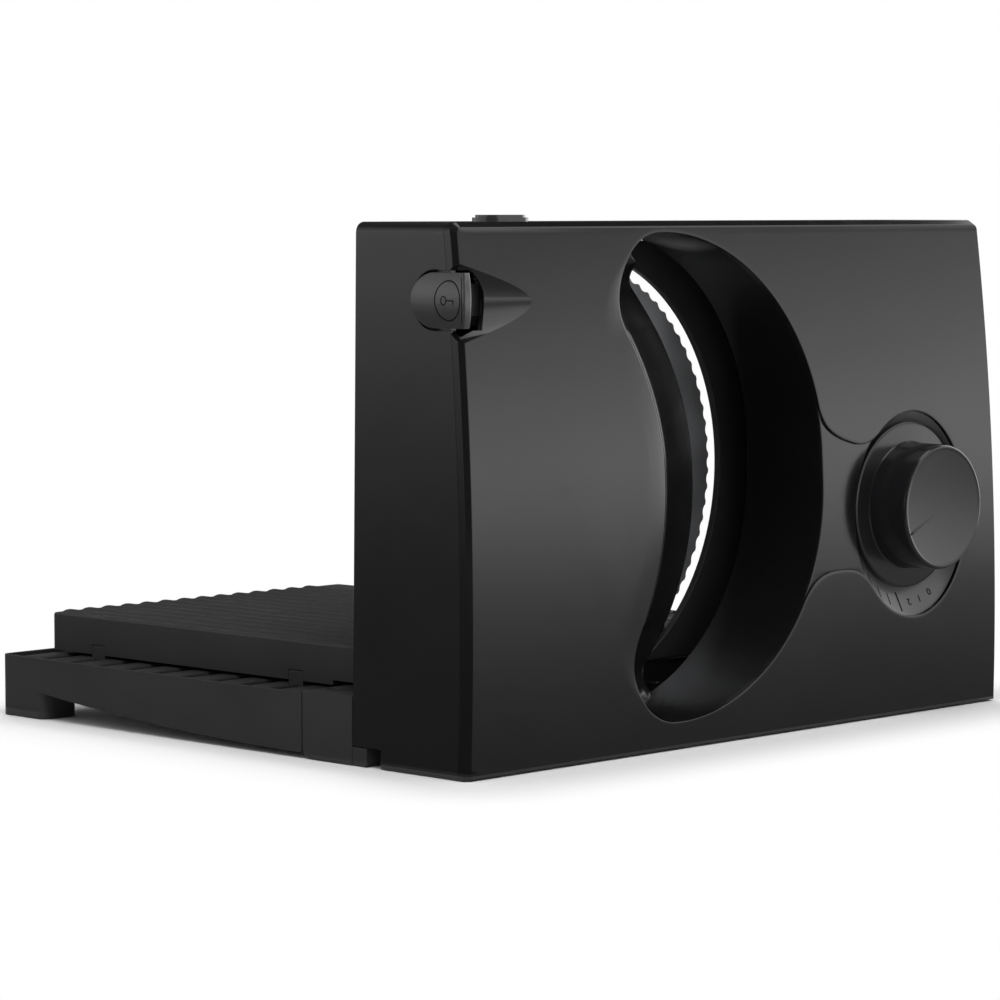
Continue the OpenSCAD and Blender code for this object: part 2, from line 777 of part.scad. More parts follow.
module blade_spindle() {
    place() color("#b9bcc0") union() {
        difference() {
            turned_y(axis_x, axis_z, [[0, gear_y - 1], [spindle_r, gear_y - 1], [spindle_r, cup_y + 0.6],
                [hub_r, cup_y + 0.6], [hub_r, blade_in], [spindle_r, blade_in], [spindle_r, blade_out - 0.1],
                [0, blade_out - 0.1]]);
            rod_y(2.9 + fit, axis_x, axis_z, blade_out - 6.2, blade_out + 1);
        }
        for (s = [-1, 1]) rod_y(2, axis_x + s * 10.5, axis_z, blade_in - 3, blade_out - 0.1);
    }
}

module drive_gear() {
    place() color("#e6e2d4") slab_gear();
}

// Driven gear, a gap between two teeth turned to the worm
module slab_gear() {
    difference() {
        union() {
            slab_y(gear_y, gear_y + gear_w) translate([axis_x, axis_z]) difference() {
                union() {
                    circle(gear_root + 0.05);
                    for (i = [0:gear_n - 1]) rotate((i + 0.5) * 360 / gear_n)
                        polygon([[gear_root - 0.5, -1.65], [gear_r, -0.85], [gear_tip, -0.38], [gear_tip, 0.38],
                            [gear_r, 0.85], [gear_root - 0.5, 1.65]]);
                }
                circle(spindle_r + fit);
            }
            turned_y(axis_x, axis_z, [[spindle_r + fit, gear_y], [9, gear_y], [9, gear_y + gear_w + 1.6],
                [spindle_r + fit, gear_y + gear_w + 1.6]]);
        }
        turned_y(axis_x, axis_z, [[11, gear_y - 1], [22, gear_y - 1], [22, gear_y + 2.5], [11, gear_y + 2.5]]);
    }
}

module armature() {
    place() color("#a36a3c") translate([motor_x, motor_y, 0]) {
        translate([0, 0, motor_z - 18.5]) cylinder(r = shaft_r, h = axis_z + 30 - motor_z + 18.5);
        translate([0, 0, motor_z + 8]) cylinder(r = motor_r - 4.5, h = motor_l - 22);
        translate([0, 0, motor_z + motor_l - 12]) cylinder(r = 7, h = 7);
    }
}

// Thread of the worm, one rib facing the gear at the height of the blade axis
module worm_thread() {
    turns = 6;
    n = turns * 16;
    rows = [for (i = [0:n])
        let (a = 22.5 * i - 180 * turns, z = axis_z + gear_pitch * a / 360)
        [for (p = [[worm_root + 0.13, 1.6], [worm_root + 0.13, -1.6], [worm_r, -0.85], [worm_tip, -0.36],
            [worm_tip, 0.36], [worm_r, 0.85]]) [p[0] * cos(a), p[0] * sin(a), z + p[1]]]];
    points = [for (r = rows, p = r) p];
    sides = [for (i = [0:n - 1], j = [0:5], k = [0, 1])
        let (a = i * 6 + j, b = i * 6 + (j + 1) % 6)
        k == 0 ? [a, b, b + 6] : [a, b + 6, a + 6]];
    caps = [[5, 4, 3, 2, 1, 0], [for (j = [0:5]) n * 6 + j]];
    polyhedron(points, concat(sides, caps), convexity = 10);
}

module worm() {
    place() color("#b9bcc0") translate([motor_x, motor_y, 0]) {
        difference() {
            translate([0, 0, axis_z - 19]) cylinder(r = worm_root, h = 38);
            cylinder(r = shaft_r + fit, h = 300);
        }
        worm_thread();
    }
}

module motor_fan() {
    place() color("#d6d4cc") translate([motor_x, motor_y, motor_z - 17]) difference() {
        union() {
            cylinder(r = 5, h = 5);
            cylinder(r = 13, h = 1.2);
            for (a = [0:45:315]) rotate(a) translate([4, -0.6, 0]) cube([8.8, 1.2, 5]);
        }
        translate([0, 0, -1]) cylinder(r = shaft_r + fit, h = 10);
    }
}

module thickness_knob() {
    place() color("#141516") turned_y(knob_x, knob_z, [[0, -knob_out], [knob_r - 1.1, -knob_out],
        [knob_r, -knob_out + 1.1], [knob_r + 0.25, dial_in - 3.5], [skirt_r - 0.5, dial_in - 3.5],
        [skirt_r, dial_in - 3], [skirt_r, dial_in - 1], [knob_r - 2.5, dial_in - 1],
        [knob_r - 2.6, -knob_out + 2.6], [7.5, -knob_out + 2.6], [7.5, dial_in - 0.6], [4 + fit, dial_in - 0.6],
        [4 + fit, -knob_out + 8], [0, -knob_out + 8]]);
}

// Helical groove of the cam sleeve, followed by the pin above the sleeve
module cam_groove() {
    n = 48;
    a0 = -360 * (cut_max - cut_rest) / cam_lead - cam_over;
    a1 = 360 * cut_rest / cam_lead + cam_over;
    rows = [for (i = [0:n])
        let (a = a0 + (a1 - a0) * i / n, y = pin_y + cam_lead * a / 360)
        [for (p = [[5.5, -2.7], [5.5, 2.7], [cam_r + 2, 2.7], [cam_r + 2, -2.7]])
            [knob_x + p[0] * sin(a), y + p[1], knob_z + p[0] * cos(a)]]];
    points = [for (r = rows, p = r) p];
    sides = [for (i = [0:n - 1], j = [0:3], k = [0, 1])
        let (a = i * 4 + j, b = i * 4 + (j + 1) % 4)
        k == 0 ? [a, a + 4, b + 4] : [a, b + 4, b]];
    caps = [[0, 1, 2, 3], [for (j = [3:-1:0]) n * 4 + j]];
    polyhedron(points, concat(sides, caps), convexity = 10);
}

module knob_spindle() {
    place() color("#d8d8d4") difference() {
        turned_y(knob_x, knob_z, [[0, stub_y], [4, stub_y], [4, cam_front],
            [cam_r, cam_front], [cam_r, cam_back], [0, cam_back]]);
        cam_groove();
    }
}

module knob_clip() {
    place() color("#8a8c90") turned_y(knob_x, knob_z, [[4 + fit, dial_in + 4.8], [7, dial_in + 4.8],
        [7, dial_in + 5.8], [4 + fit, dial_in + 5.8]]);
}

module guide_plate() {
    place() color("#1a1b1d") difference() {
        union() {
            slab_y(guide_in, guide_face) difference() {
                translate([win_l + 1, win_b + 1]) square([win_r - win_l - 2, win_t - win_b - 2]);
                translate([axis_x, axis_z]) circle(blade_r + guide_gap);
            }
            for (p = rods) rod_y(rod_r + 2.6, p[0], p[1], guide_in - 23, guide_in + 0.5);
            for (z = [win_b + 12, win_t - 14]) block([open_x + open_r + 8, guide_in - 4, z],
                [win_r - 6, guide_in + 0.5, z + 2]);
        }
        for (p = rods) rod_y(rod_r + run, p[0], p[1], guide_in - 24, guide_in + 1.4);
    }
}

module cam_follower() {
    place() color("#d8d8d4") difference() {
        union() {
            block([knob_x - 5, pin_y - 4.5, knob_z + cam_r + 1], [knob_x + 5, guide_in, knob_z + cam_r + 10]);
            block([knob_x - 9, guide_in - 3, knob_z + cam_r + 1], [knob_x + 9, guide_in, knob_z + cam_r + 16]);
        }
        translate([knob_x, pin_y, 0]) cylinder(r = 2 + fit, h = 300);
    }
}

module cam_pin() {
    place() color("#b9bcc0") translate([knob_x, pin_y, knob_z + 6]) cylinder(r = 2, h = cam_r + 4);
}

module carriage() {
    place() color("#1b1c1e") union() {
        difference() {
            block([car_x, car_y, car_z], [car_x + car_l, car_end, car_top]);
            block([car_x + 3, car_y + 3, car_z - 1], [car_x + car_l - 3, car_end - 3, car_roof]);
        }
        intersection() {
            for (i = [0:floor((guard_x - 18 - car_x) / car_pitch)]) rod_y(9.5, car_x + 7 + i * car_pitch, car_top - 8.5, car_y + 3, car_end - 3);
            block([car_x, car_y, car_top - 0.5], [car_x + car_l, car_end, car_top + 3]);
        }
    }
}

module carriage_runners() {
    place() color("#d8d8d4") for (y = rails) difference() {
        block([car_x + 12, y - rail_w / 2 - 3.5, tray_h + rib_up + 1.5], [car_x + car_l - 12, y + rail_w / 2 + 3.5, car_roof]);
        block([0, y - rail_w / 2 - gap, 0], [body_w, y + rail_w / 2 + gap, rail_top + gap]);
    }
}

// Side view of the thumb guard
function guard_side() = concat([[guard_y, car_top + 1]], [[guard_y + guard_l, car_top + 1]],
    arc([guard_y + guard_l - guard_r, car_top + guard_h - 2 * guard_r], guard_r, 0, 70, 8),
    arc([guard_y + guard_r + 2, car_top + guard_h - guard_r - 2], guard_r + 2, 100, 180, 8));

module thumb_guard() {
    place() color("#1b1c1e") difference() {
        union() {
            slab_x(guard_x, guard_x + 3.5) polygon(guard_side());
            block([guard_x - 6.5, guard_y, car_top], [guard_x + 7, guard_y + guard_l, car_top + 2.5]);
        }
        for (y = [guard_screw, guard_l - guard_screw]) translate([guard_x - 3.2, guard_y + y, 0]) cylinder(r = 1.45 + fit, h = 100);
    }
}

module guard_screws() {
    place() color("#9a9a9a") for (y = [guard_screw, guard_l - guard_screw])
        translate([guard_x - 3.2, guard_y + y, car_top + 4.9]) mirror([0, 0, 1]) screw(2.4);
}

module power_button() {
    place() color("#141516") translate([power_x, power_y, 0]) {
        translate([0, 0, power_seat - 3.5]) linear_extrude(3.2) oval(power_l + 4, power_w + 4);
        translate([0, 0, power_seat - 1]) linear_extrude(wall + 1 + power_up - 1) oval(power_l, power_w);
        translate([0, 0, body_h]) linear_extrude(power_up) oval(power_l - 2.4, power_w - 2.4);
        translate([0, 0, switch_top + 1.7 + power_go]) cylinder(r = 3, h = power_seat - switch_top - power_go - 3);
    }
}

module power_spring() {
    place() color("#b9bcc0") translate([power_x, power_y, switch_top]) coil(4.2, 0.45, power_seat - 3.5 - switch_top, 5);
}

// Plan of the lock button, its front corner rounded off
module lock_plan() {
    nose_x = lock_x - lock_bulge + lock_nose;
    nose_y = lock_front + lock_nose;
    difference() {
        translate([-5, 0]) square([lock_in + 10, 60]);
        difference() {
            translate([-6, -1]) square([nose_x + 6, nose_y + 1]);
            translate([nose_x, nose_y]) circle(lock_nose + 0.02);
        }
    }
}

module lock_button() {
    place() color("#141516") union() {
        intersection() {
            slab_x(lock_x - lock_bulge, lock_in) lock_side(0);
            translate([0, 0, lock_z - 30]) linear_extrude(60) lock_plan();
            translate([lock_x - lock_bulge + lock_bow_r, 0, lock_z]) rotate([-90, 0, 0])
                cylinder(r = lock_bow_r, h = 60, $fn = 180);
        }
        slab_x(lock_x + wall + 0.8, lock_in) intersection() {
            lock_side(1.4);
            translate([14, 0]) square([60, 300]);
        }
        rod_x(3, lock_axis_y, lock_z, 7, 17.6 - lock_go);
    }
}

module lock_spring() {
    place() color("#b9bcc0") translate([8, lock_axis_y, lock_z]) rotate([0, 90, 0]) coil(4.2, 0.45, 10.5, 5);
}

rear_shell();
front_cover();
exit_lip();
base_block();
tray();
rubber_feet();
case_screws();
base_screws();
tray_screws();
motor_can();
motor_cradle();
worm_support();
spindle_bush();
knob_bush();
guide_rods();
power_switch();
lock_switch();
terminal_block();
cord_gland();
blade();
blade_cap();
blade_spindle();
drive_gear();
armature();
worm();
motor_fan();
thickness_knob();
knob_spindle();
knob_clip();
guide_plate();
cam_follower();
cam_pin();
carriage();
carriage_runners();
thumb_guard();
guard_screws();
power_button();
power_spring();
lock_button();
lock_spring();
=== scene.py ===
# %% [markdown]
# A black food slicer, dressed for the camera
#
# The machine stands upright: a wide housing with a gently bowed front, a crescent opening before the blade, a
# thickness dial, and behind it a low ribbed tray with a sliding carriage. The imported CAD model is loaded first
# and stays where it is. Each new piece is modelled round it, in millimetres counted from the lower left front
# corner of the housing, and is then set into the shared frame in metres.

# %% Frame
import json
import math
from collections import Counter
import bpy
from mathutils import Matrix, Vector


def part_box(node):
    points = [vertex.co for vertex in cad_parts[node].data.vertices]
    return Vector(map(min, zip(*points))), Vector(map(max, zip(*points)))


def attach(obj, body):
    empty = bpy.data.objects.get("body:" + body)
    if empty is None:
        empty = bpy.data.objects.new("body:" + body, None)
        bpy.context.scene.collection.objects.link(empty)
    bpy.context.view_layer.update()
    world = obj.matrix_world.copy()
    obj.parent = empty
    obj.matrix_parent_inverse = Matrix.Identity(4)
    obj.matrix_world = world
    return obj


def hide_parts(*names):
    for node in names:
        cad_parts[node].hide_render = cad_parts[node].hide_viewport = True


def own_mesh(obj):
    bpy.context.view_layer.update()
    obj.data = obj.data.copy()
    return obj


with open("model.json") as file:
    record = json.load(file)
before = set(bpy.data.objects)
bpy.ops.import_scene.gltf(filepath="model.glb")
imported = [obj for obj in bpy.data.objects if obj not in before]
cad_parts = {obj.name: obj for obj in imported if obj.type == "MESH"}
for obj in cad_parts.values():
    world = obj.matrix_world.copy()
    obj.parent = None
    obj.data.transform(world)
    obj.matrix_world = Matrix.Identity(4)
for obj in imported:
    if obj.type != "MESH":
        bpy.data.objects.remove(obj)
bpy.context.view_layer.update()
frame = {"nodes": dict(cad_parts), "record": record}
nodes = frame["nodes"]

# %% [markdown]
# The camera comes first, because everything is judged through it. Its place and lens were found by fitting
# the housing's corners and edges, so it looks along the front from the left, almost level with the top.

# %% Camera
TILT_DOWN, HEADING = 4.445, 43.94
camera = bpy.data.objects.new("camera", bpy.data.cameras.new("camera"))
bpy.context.scene.collection.objects.link(camera)
camera.location = (-1.1363, -1.0853, 0.2102)
camera.rotation_euler = (math.radians(90 - TILT_DOWN), 0, math.radians(HEADING - 90))
camera.data.lens = 135.4
camera.data.sensor_width = 36
camera.data.clip_end = 60
bpy.context.scene.camera = camera
bpy.context.scene.view_settings.view_transform = "Standard"
print("camera at", tuple(camera.location), "lens", camera.data.lens)

# %% [markdown]
# Every material below is a small node tree. This helper adds one node, sets its options and fills its
# sockets with a value or with a link, so that a tree reads from top to bottom like a recipe.

# %% Node helper
def add(tree, kind, inputs=None, **options):
    made = tree.nodes.new("ShaderNode" + kind)
    for key, value in options.items():
        setattr(made, key, value)
    for key, value in (inputs or {}).items():
        if isinstance(value, bpy.types.NodeSocket):
            tree.links.new(value, made.inputs[key])
        else:
            made.inputs[key].default_value = value
    return made


def new_material(name):
    material = bpy.data.materials.new(name)
    material.use_nodes = True
    material.node_tree.nodes.clear()
    return material, material.node_tree


print("node helpers:", add.__name__, new_material.__name__)

# %% [markdown]
# A white studio: the world is white to the camera and in reflections, and gives a softer grey light to
# everything else. A brighter world would do the same with one value, but it would wash out the black plastic.

# %% World
def seen_rays(tree):
    """1 for what is seen straight, by reflection or through glass, and 0 for the light on the object."""
    ray = add(tree, "LightPath")
    seen = ray.outputs["Is Camera Ray"]
    for kind in ("Is Glossy Ray", "Is Transmission Ray"):
        seen = add(tree, "Math", {0: seen, 1: ray.outputs[kind]}, operation="MAXIMUM").outputs[0]
    return seen


world = bpy.data.worlds.new("studio")
bpy.context.scene.world = world
world.use_nodes = True
tree = world.node_tree
tree.nodes.clear()
soft = add(tree, "Background", {"Color": (1, 1, 1, 1), "Strength": 0.55})
white = add(tree, "Background", {"Color": (1, 1, 1, 1), "Strength": 1.0})
both = add(tree, "MixShader", {0: seen_rays(tree), 1: soft.outputs[0], 2: white.outputs[0]})
add(tree, "OutputWorld", {"Surface": both.outputs[0]})
print("world:", world.name)

# %% [markdown]
# The floor is pale. Close round the machine's footprint it shows its own shade, so the contact shadow stays.
# Further out it glows white to the camera, as lit paper does. The change follows the distance from the
# footprint, which the nodes measure as the distance from a box.

# %% Floor
FOOTPRINT_MIDDLE, FOOTPRINT_HALF = (0, 0.007, 0), (0.159, 0.135, 1)
SHADOW_NEAR, SHADOW_FAR = 0.01, 0.06


def plane(name, size, place, material):
    bpy.ops.object.select_all(action="DESELECT")
    bpy.ops.mesh.primitive_plane_add(size=1, location=place)
    made = bpy.context.object
    made.name = name
    made.scale = (size[0], size[1], 1)
    bpy.ops.object.transform_apply(location=False, rotation=False, scale=True)
    made.data.materials.append(material)
    return made


floor_pale, tree = new_material("floor_pale")
off = add(tree, "TexCoord").outputs["Object"]
for operation, value in (("SUBTRACT", FOOTPRINT_MIDDLE), ("ABSOLUTE", (0, 0, 0)), ("SUBTRACT", FOOTPRINT_HALF),
                         ("MAXIMUM", (0, 0, 0))):
    off = add(tree, "VectorMath", {0: off, 1: value}, operation=operation).outputs[0]
far = add(tree, "VectorMath", {0: off}, operation="LENGTH")
share = add(tree, "MapRange", {"Value": far.outputs["Value"], "From Min": SHADOW_NEAR, "From Max": SHADOW_FAR},
            interpolation_type="SMOOTHSTEP")
share = add(tree, "Math", {0: seen_rays(tree), 1: share.outputs[0]}, operation="MULTIPLY")
pale = add(tree, "BsdfDiffuse", {"Color": (0.86, 0.86, 0.86, 1)})
glow = add(tree, "Emission", {"Color": (1, 1, 1, 1), "Strength": 1.0})
both = add(tree, "MixShader", {0: share.outputs[0], 1: pale.outputs[0], 2: glow.outputs[0]})
add(tree, "OutputMaterial", {"Surface": both.outputs[0]})
plane("floor", (14, 14), (0, 0, 0), floor_pale)
print("floor:", floor_pale.name)

# %% [markdown]
# Two large lamps give soft light: the stronger one high in front on the left, a weaker one behind on the
# right. They are area lamps, because a lamp's size sets how soft the edge of a shadow is.

# %% Lamps
def softbox(name, place, size, power):
    lamp = bpy.data.objects.new(name, bpy.data.lights.new(name, "AREA"))
    bpy.context.scene.collection.objects.link(lamp)
    lamp.location = place
    lamp.rotation_euler = (Vector((0, 0, 0.1)) - Vector(place)).to_track_quat("-Z", "Y").to_euler()
    lamp.data.size = size
    lamp.data.energy = power


softbox("key_light", (-0.5, -0.7, 1.9), 1.3, 22)
softbox("back_light", (0.9, 1.3, 1.7), 1.2, 14)
print("two soft lamps")

# %% [markdown]
# Black gloss plastic shows what stands round it more than its own colour, so it is lit as a photographer
# would: dark cards lie on the ground, tall cards stand at the sides, and two hang overhead. Lamps alone would
# give hard glints. The cards on the ground and at the sides are graduated along their length, the two overhead
# are even, and every card only shows in reflections.

# %% Card helpers
BRIGHTEST = 4.0
UPRIGHT = math.radians(90)


def reflect_only(card):
    for ray in ("camera", "diffuse", "shadow", "transmission"):
        setattr(card, "visible_" + ray, False)


def card_material(name, steps):
    """Emission that changes along the card, given as (share of its length, brightness)."""
    material, tree = new_material(name)
    place = add(tree, "TexCoord")
    parts = add(tree, "SeparateXYZ", {0: place.outputs["Object"]})
    ramp = add(tree, "ValToRGB", {0: parts.outputs["Y"]})
    ramp.color_ramp.interpolation = "B_SPLINE"
    marks = ramp.color_ramp.elements
    while len(marks) < len(steps):
        marks.new(0.5)
    for mark, (at, level) in zip(marks, steps):
        mark.position = at
        mark.color = (level / BRIGHTEST, level / BRIGHTEST, level / BRIGHTEST, 1)
    glow = add(tree, "Emission", {"Color": ramp.outputs["Color"], "Strength": BRIGHTEST})
    add(tree, "OutputMaterial", {"Surface": glow.outputs[0]})
    return material


def graded_card(name, place, turn, width, length, steps):
    """A card with the middle of its first edge at its place."""
    bpy.ops.object.select_all(action="DESELECT")
    bpy.ops.mesh.primitive_plane_add(size=1, location=(0, 0.5, 0))
    card = bpy.context.object
    card.name = name
    bpy.ops.object.transform_apply(location=True)
    card.location = place
    card.rotation_euler = turn
    card.scale = (width, length, 1)
    card.data.materials.append(card_material(name, steps))
    reflect_only(card)


def floor_card(name, start, end, lift, steps):
    """A card that lies on the floor from its start to its end."""
    ahead = Vector(end) - Vector(start)
    turn = math.atan2(ahead.y, ahead.x) - UPRIGHT
    graded_card(name, (*start, lift), (0, 0, turn), 3.0, ahead.length, steps)


def standing_card(name, place, facing, width, height, steps):
    """A card that stands on the floor and turns its front to the slicer."""
    turn = math.atan2(facing[1], facing[0]) + UPRIGHT
    graded_card(name, (*place, 0), (UPRIGHT, 0, turn), width, height, steps)


print("card helpers:", floor_card.__name__, standing_card.__name__)

# %% [markdown]
# Each card has its task. The bowed front mirrors the front card and the flag before it, the left side mirrors
# the side card and its flag. The rear card, the near card and the ceiling keep the rest dark, and the edge card
# and the top card give narrow lights.

# %% Graduated cards
floor_card("front_flag", (0.2, 0.1), (0.2, -1.6), 0.002,
           [(0.0, 0.12), (0.14, 0.26), (0.24, 0.42), (0.36, 0.65), (0.5, 0.9), (0.9, 0.9)])
floor_card("side_flag", (-0.155, 0.3), (-1.9, 0.3), 0.003,
           [(0.0, 0.05), (0.2, 0.05), (0.4, 0.06), (0.6, 0.1), (0.9, 0.1)])
standing_card("front_card", (0.66, -0.76), (-0.72, 0.69), 2.2, 1.0,
              [(0.0, 0.9), (0.04, 1.4), (0.11, 2.4), (0.20, 1.75), (0.32, 1.0), (0.4, 0.7), (0.52, 0.9),
               (0.65, 1.8), (0.9, 2.2)])
standing_card("side_card", (-0.82, 0.63), (0.72, -0.69), 2.2, 1.0,
              [(0.0, 0.06), (0.06, 0.25), (0.13, 0.55), (0.22, 1.2), (0.34, 1.3), (0.6, 0.6), (0.9, 0.3)])
standing_card("rear_card", (0.85, 1.0), (-0.72, -0.69), 2.4, 0.9,
              [(0.0, 0.35), (0.12, 0.4), (0.18, 0.25), (0.24, 0.06), (0.9, 0.05)])
standing_card("edge_card", (0.62, -0.06), (-1.0, -0.02), 0.42, 0.55,
              [(0.0, 1.2), (0.16, 2.6), (0.48, 3.4), (0.85, 3.0), (0.9, 2.6)])
standing_card("near_card", (-1.5, -1.42), (0.72, 0.69), 2.8, 1.6, [(0.0, 0.05), (0.5, 0.05), (0.9, 0.08)])
for name, level, size, place in (("ceiling_card", 0.05, (3.8, 3.2), (0.0, 0.0, 1.15)),
                                 ("top_card", 2.2, (0.54, 1.9), (0.33, -0.85, 1.1))):
    overhead, tree = new_material(name)
    glow = add(tree, "Emission", {"Color": (1, 1, 1, 1), "Strength": level})
    add(tree, "OutputMaterial", {"Surface": glow.outputs[0]})
    reflect_only(plane(name, size, place, overhead))
print("cards in place")

# %% [markdown]
# Moulded plastic is never one flat colour. Seen close it has a faint mottling in its tint, patches where
# hands have dulled the gloss, and a very fine grain from the mould. One node group gives all three, and
# each plastic sets its own amounts.

# %% Moulded skin
def new_group(name, inputs):
    """A node group with the given inputs that puts out a tint, a roughness and a height."""
    group = bpy.data.node_groups.new(name, "ShaderNodeTree")
    for label, kind, value in inputs:
        socket = group.interface.new_socket(label, in_out="INPUT", socket_type="NodeSocket" + kind)
        socket.default_value = value
    for label, kind in (("Tint", "Color"), ("Roughness", "Float"), ("Height", "Float")):
        group.interface.new_socket(label, in_out="OUTPUT", socket_type="NodeSocket" + kind)
    return group, group.nodes.new("NodeGroupInput").outputs, group.nodes.new("NodeGroupOutput").inputs


def put_out(tree, goes, tint, roughness, height):
    for label, socket in (("Tint", tint), ("Roughness", roughness), ("Height", height)):
        tree.links.new(socket, goes[label])


moulded_skin, came, goes = new_group(
    "moulded_skin",
    [("Place", "Vector", (0, 0, 0)), ("Tint", "Color", (0.02, 0.02, 0.02, 1)), ("Mottle", "Float", 0.3),
     ("Gloss", "Float", 0.15), ("Dull", "Float", 0.25), ("Grain", "Float", 900.0)])
tree = moulded_skin
cloud = add(tree, "TexNoise", {"Vector": came["Place"], "Scale": 28.0, "Detail": 3.0})
shade = add(tree, "Math", {0: cloud.outputs["Fac"], 1: 0.5}, operation="SUBTRACT")
shade = add(tree, "Math", {0: shade.outputs[0], 1: came["Mottle"], 2: 1.0}, operation="MULTIPLY_ADD")
tinted = add(tree, "VectorMath", {0: came["Tint"], "Scale": shade.outputs[0]}, operation="SCALE")
touch = add(tree, "TexNoise", {"Vector": came["Place"], "Scale": 11.0, "Detail": 5.0, "Roughness": 0.6})
worn = add(tree, "MapRange", {"Value": touch.outputs["Fac"], "From Min": 0.38, "From Max": 0.66,
                              "To Min": came["Gloss"], "To Max": came["Dull"]})
smear = add(tree, "TexNoise", {"Vector": came["Place"], "Scale": 70.0, "Detail": 6.0})
smear = add(tree, "MapRange", {"Value": smear.outputs["Fac"], "From Min": 0.55, "From Max": 0.8,
                               "To Min": 0.0, "To Max": 0.06})
rough = add(tree, "Math", {0: worn.outputs[0], 1: smear.outputs[0]}, operation="ADD")
grain = add(tree, "TexNoise", {"Vector": came["Place"], "Scale": came["Grain"], "Detail": 2.0})
put_out(tree, goes, tinted.outputs[0], rough.outputs[0], grain.outputs["Fac"])
print("group:", moulded_skin.name)

# %% [markdown]
# Turned and ground metal carries fine rings round its axis. A wave texture would repeat them evenly, so a
# noise is read along the distance from the axis instead, and the tint and the height follow it.

# %% Turned rings
turned_rings, came, goes = new_group(
    "turned_rings",
    [("Place", "Vector", (0, 0, 0)), ("Tint", "Color", (0.6, 0.6, 0.6, 1)), ("Pitch", "Float", 3000.0),
     ("Gloss", "Float", 0.2), ("Dull", "Float", 0.4)])
tree = turned_rings
parts = add(tree, "SeparateXYZ", {0: came["Place"]})
across = add(tree, "CombineXYZ", {"X": parts.outputs["X"], "Z": parts.outputs["Z"]})
far = add(tree, "VectorMath", {0: across.outputs[0]}, operation="LENGTH")
count = add(tree, "Math", {0: far.outputs["Value"], 1: came["Pitch"]}, operation="MULTIPLY")
mark = add(tree, "TexNoise", {"W": count.outputs[0], "Scale": 1.0, "Detail": 3.0}, noise_dimensions="1D")
cloud = add(tree, "TexNoise", {"Vector": came["Place"], "Scale": 40.0, "Detail": 4.0})
level = add(tree, "MapRange", {"Value": mark.outputs["Fac"], "To Min": 0.82, "To Max": 1.12})
tinted = add(tree, "VectorMath", {0: came["Tint"], "Scale": level.outputs[0]}, operation="SCALE")
worn = add(tree, "MapRange", {"Value": cloud.outputs["Fac"], "From Min": 0.35, "From Max": 0.7,
                              "To Min": came["Gloss"], "To Max": came["Dull"]})
put_out(tree, goes, tinted.outputs[0], worn.outputs[0], mark.outputs["Fac"])
print("group:", turned_rings.name)

# %% [markdown]
# The finishes. The cover and shell are gloss black, the tray and the guide plate are duller, the blade is
# brushed steel, and the drive inside is plain metal and grey plastic. The chute wall and the lip inside the
# opening take a darker, duller copy of the cover black as painted shade, and the dial's dish a lighter grey
# copy as painted light. One function for plastics and one for metals keep the trees alike, so a finish is
# only a line of amounts: its tint, then the roughness where it is glossy and where it is dull.

# %% Finishes
BLADE_AXIS = (-0.042, -0.0685, 0.105)
MOTOR_AXIS = (-0.07865, -0.0935, 0.05)
finishes = {}


def finish(name, group, amounts, place, bump, depth, **constants):
    """Build a material from a shared group, with what is the same all over set on the shader's own sockets."""
    material = finishes[name]
    tree = material.node_tree
    effect = add(tree, "Group", node_tree=group)
    tree.links.new(place, effect.inputs["Place"])
    for label, value in amounts.items():
        effect.inputs[label].default_value = value
    lift = add(tree, "Bump", {"Height": effect.outputs["Height"], "Strength": bump, "Distance": depth})
    shader = add(tree, "BsdfPrincipled", {"Base Color": effect.outputs["Tint"], "Normal": lift.outputs[0],
                                          "Roughness": effect.outputs["Roughness"]})
    for label, value in constants.items():
        shader.inputs[label.replace("_", " ")].default_value = value
    add(tree, "OutputMaterial", {"Surface": shader.outputs[0]})


def plastic(name, tint, gloss, dull, mottle=0.35, grain=900.0, bump=0.02, specular=0.4):
    finishes[name], tree = new_material(name)
    amounts = {"Tint": (*tint, 1), "Mottle": mottle, "Gloss": gloss, "Dull": dull, "Grain": grain}
    finish(name, moulded_skin, amounts, add(tree, "TexCoord").outputs["Object"], bump, 0.00004,
           Specular_IOR_Level=specular, Coat_Weight=0.0, Coat_Roughness=0.05)


def metal(name, tint, gloss, dull, axis, pitch):
    """Turned metal: axis is the point, in metres, that the lathe's rings go round."""
    finishes[name], tree = new_material(name)
    place = add(tree, "TexCoord").outputs["Object"]
    centred = add(tree, "Mapping", {"Vector": place, "Location": [-v for v in axis]})
    amounts = {"Tint": (*tint, 1), "Pitch": pitch, "Gloss": gloss, "Dull": dull}
    finish(name, turned_rings, amounts, centred.outputs[0], 0.15, 0.00002, Metallic=1.0)


plastic("cover_black", (0.007, 0.007, 0.0075), 0.10, 0.16)
# Painted shade: a darker, less glossy copy of the cover black, for the chute wall and the exit lip inside the
# opening.
plastic("chute_painted_shade", (0.006, 0.006, 0.0065), 0.16, 0.24, specular=0.2)
plastic("shell_black", (0.011, 0.011, 0.012), 0.12, 0.20)
plastic("tray_black", (0.030, 0.030, 0.031), 0.38, 0.5, bump=0.08, specular=0.15)
plastic("knob_black", (0.010, 0.010, 0.011), 0.14, 0.22)
plastic("button_black", (0.034, 0.034, 0.035), 0.2, 0.3, specular=0.6)
plastic("guide_black", (0.018, 0.018, 0.019), 0.34, 0.46, bump=0.1)
metal("blade_steel", (0.62, 0.63, 0.65), 0.42, 0.52, BLADE_AXIS, 2600.0)
metal("shaft_steel", (0.52, 0.53, 0.55), 0.20, 0.34, BLADE_AXIS, 5000.0)
metal("spring_steel", (0.5, 0.51, 0.53), 0.2, 0.3, BLADE_AXIS, 6000.0)
metal("screw_steel", (0.46, 0.47, 0.48), 0.28, 0.42, BLADE_AXIS, 4000.0)
metal("bush_bronze", (0.46, 0.30, 0.13), 0.35, 0.5, BLADE_AXIS, 3000.0)
metal("winding", (0.45, 0.2, 0.08), 0.3, 0.45, MOTOR_AXIS, 2200.0)
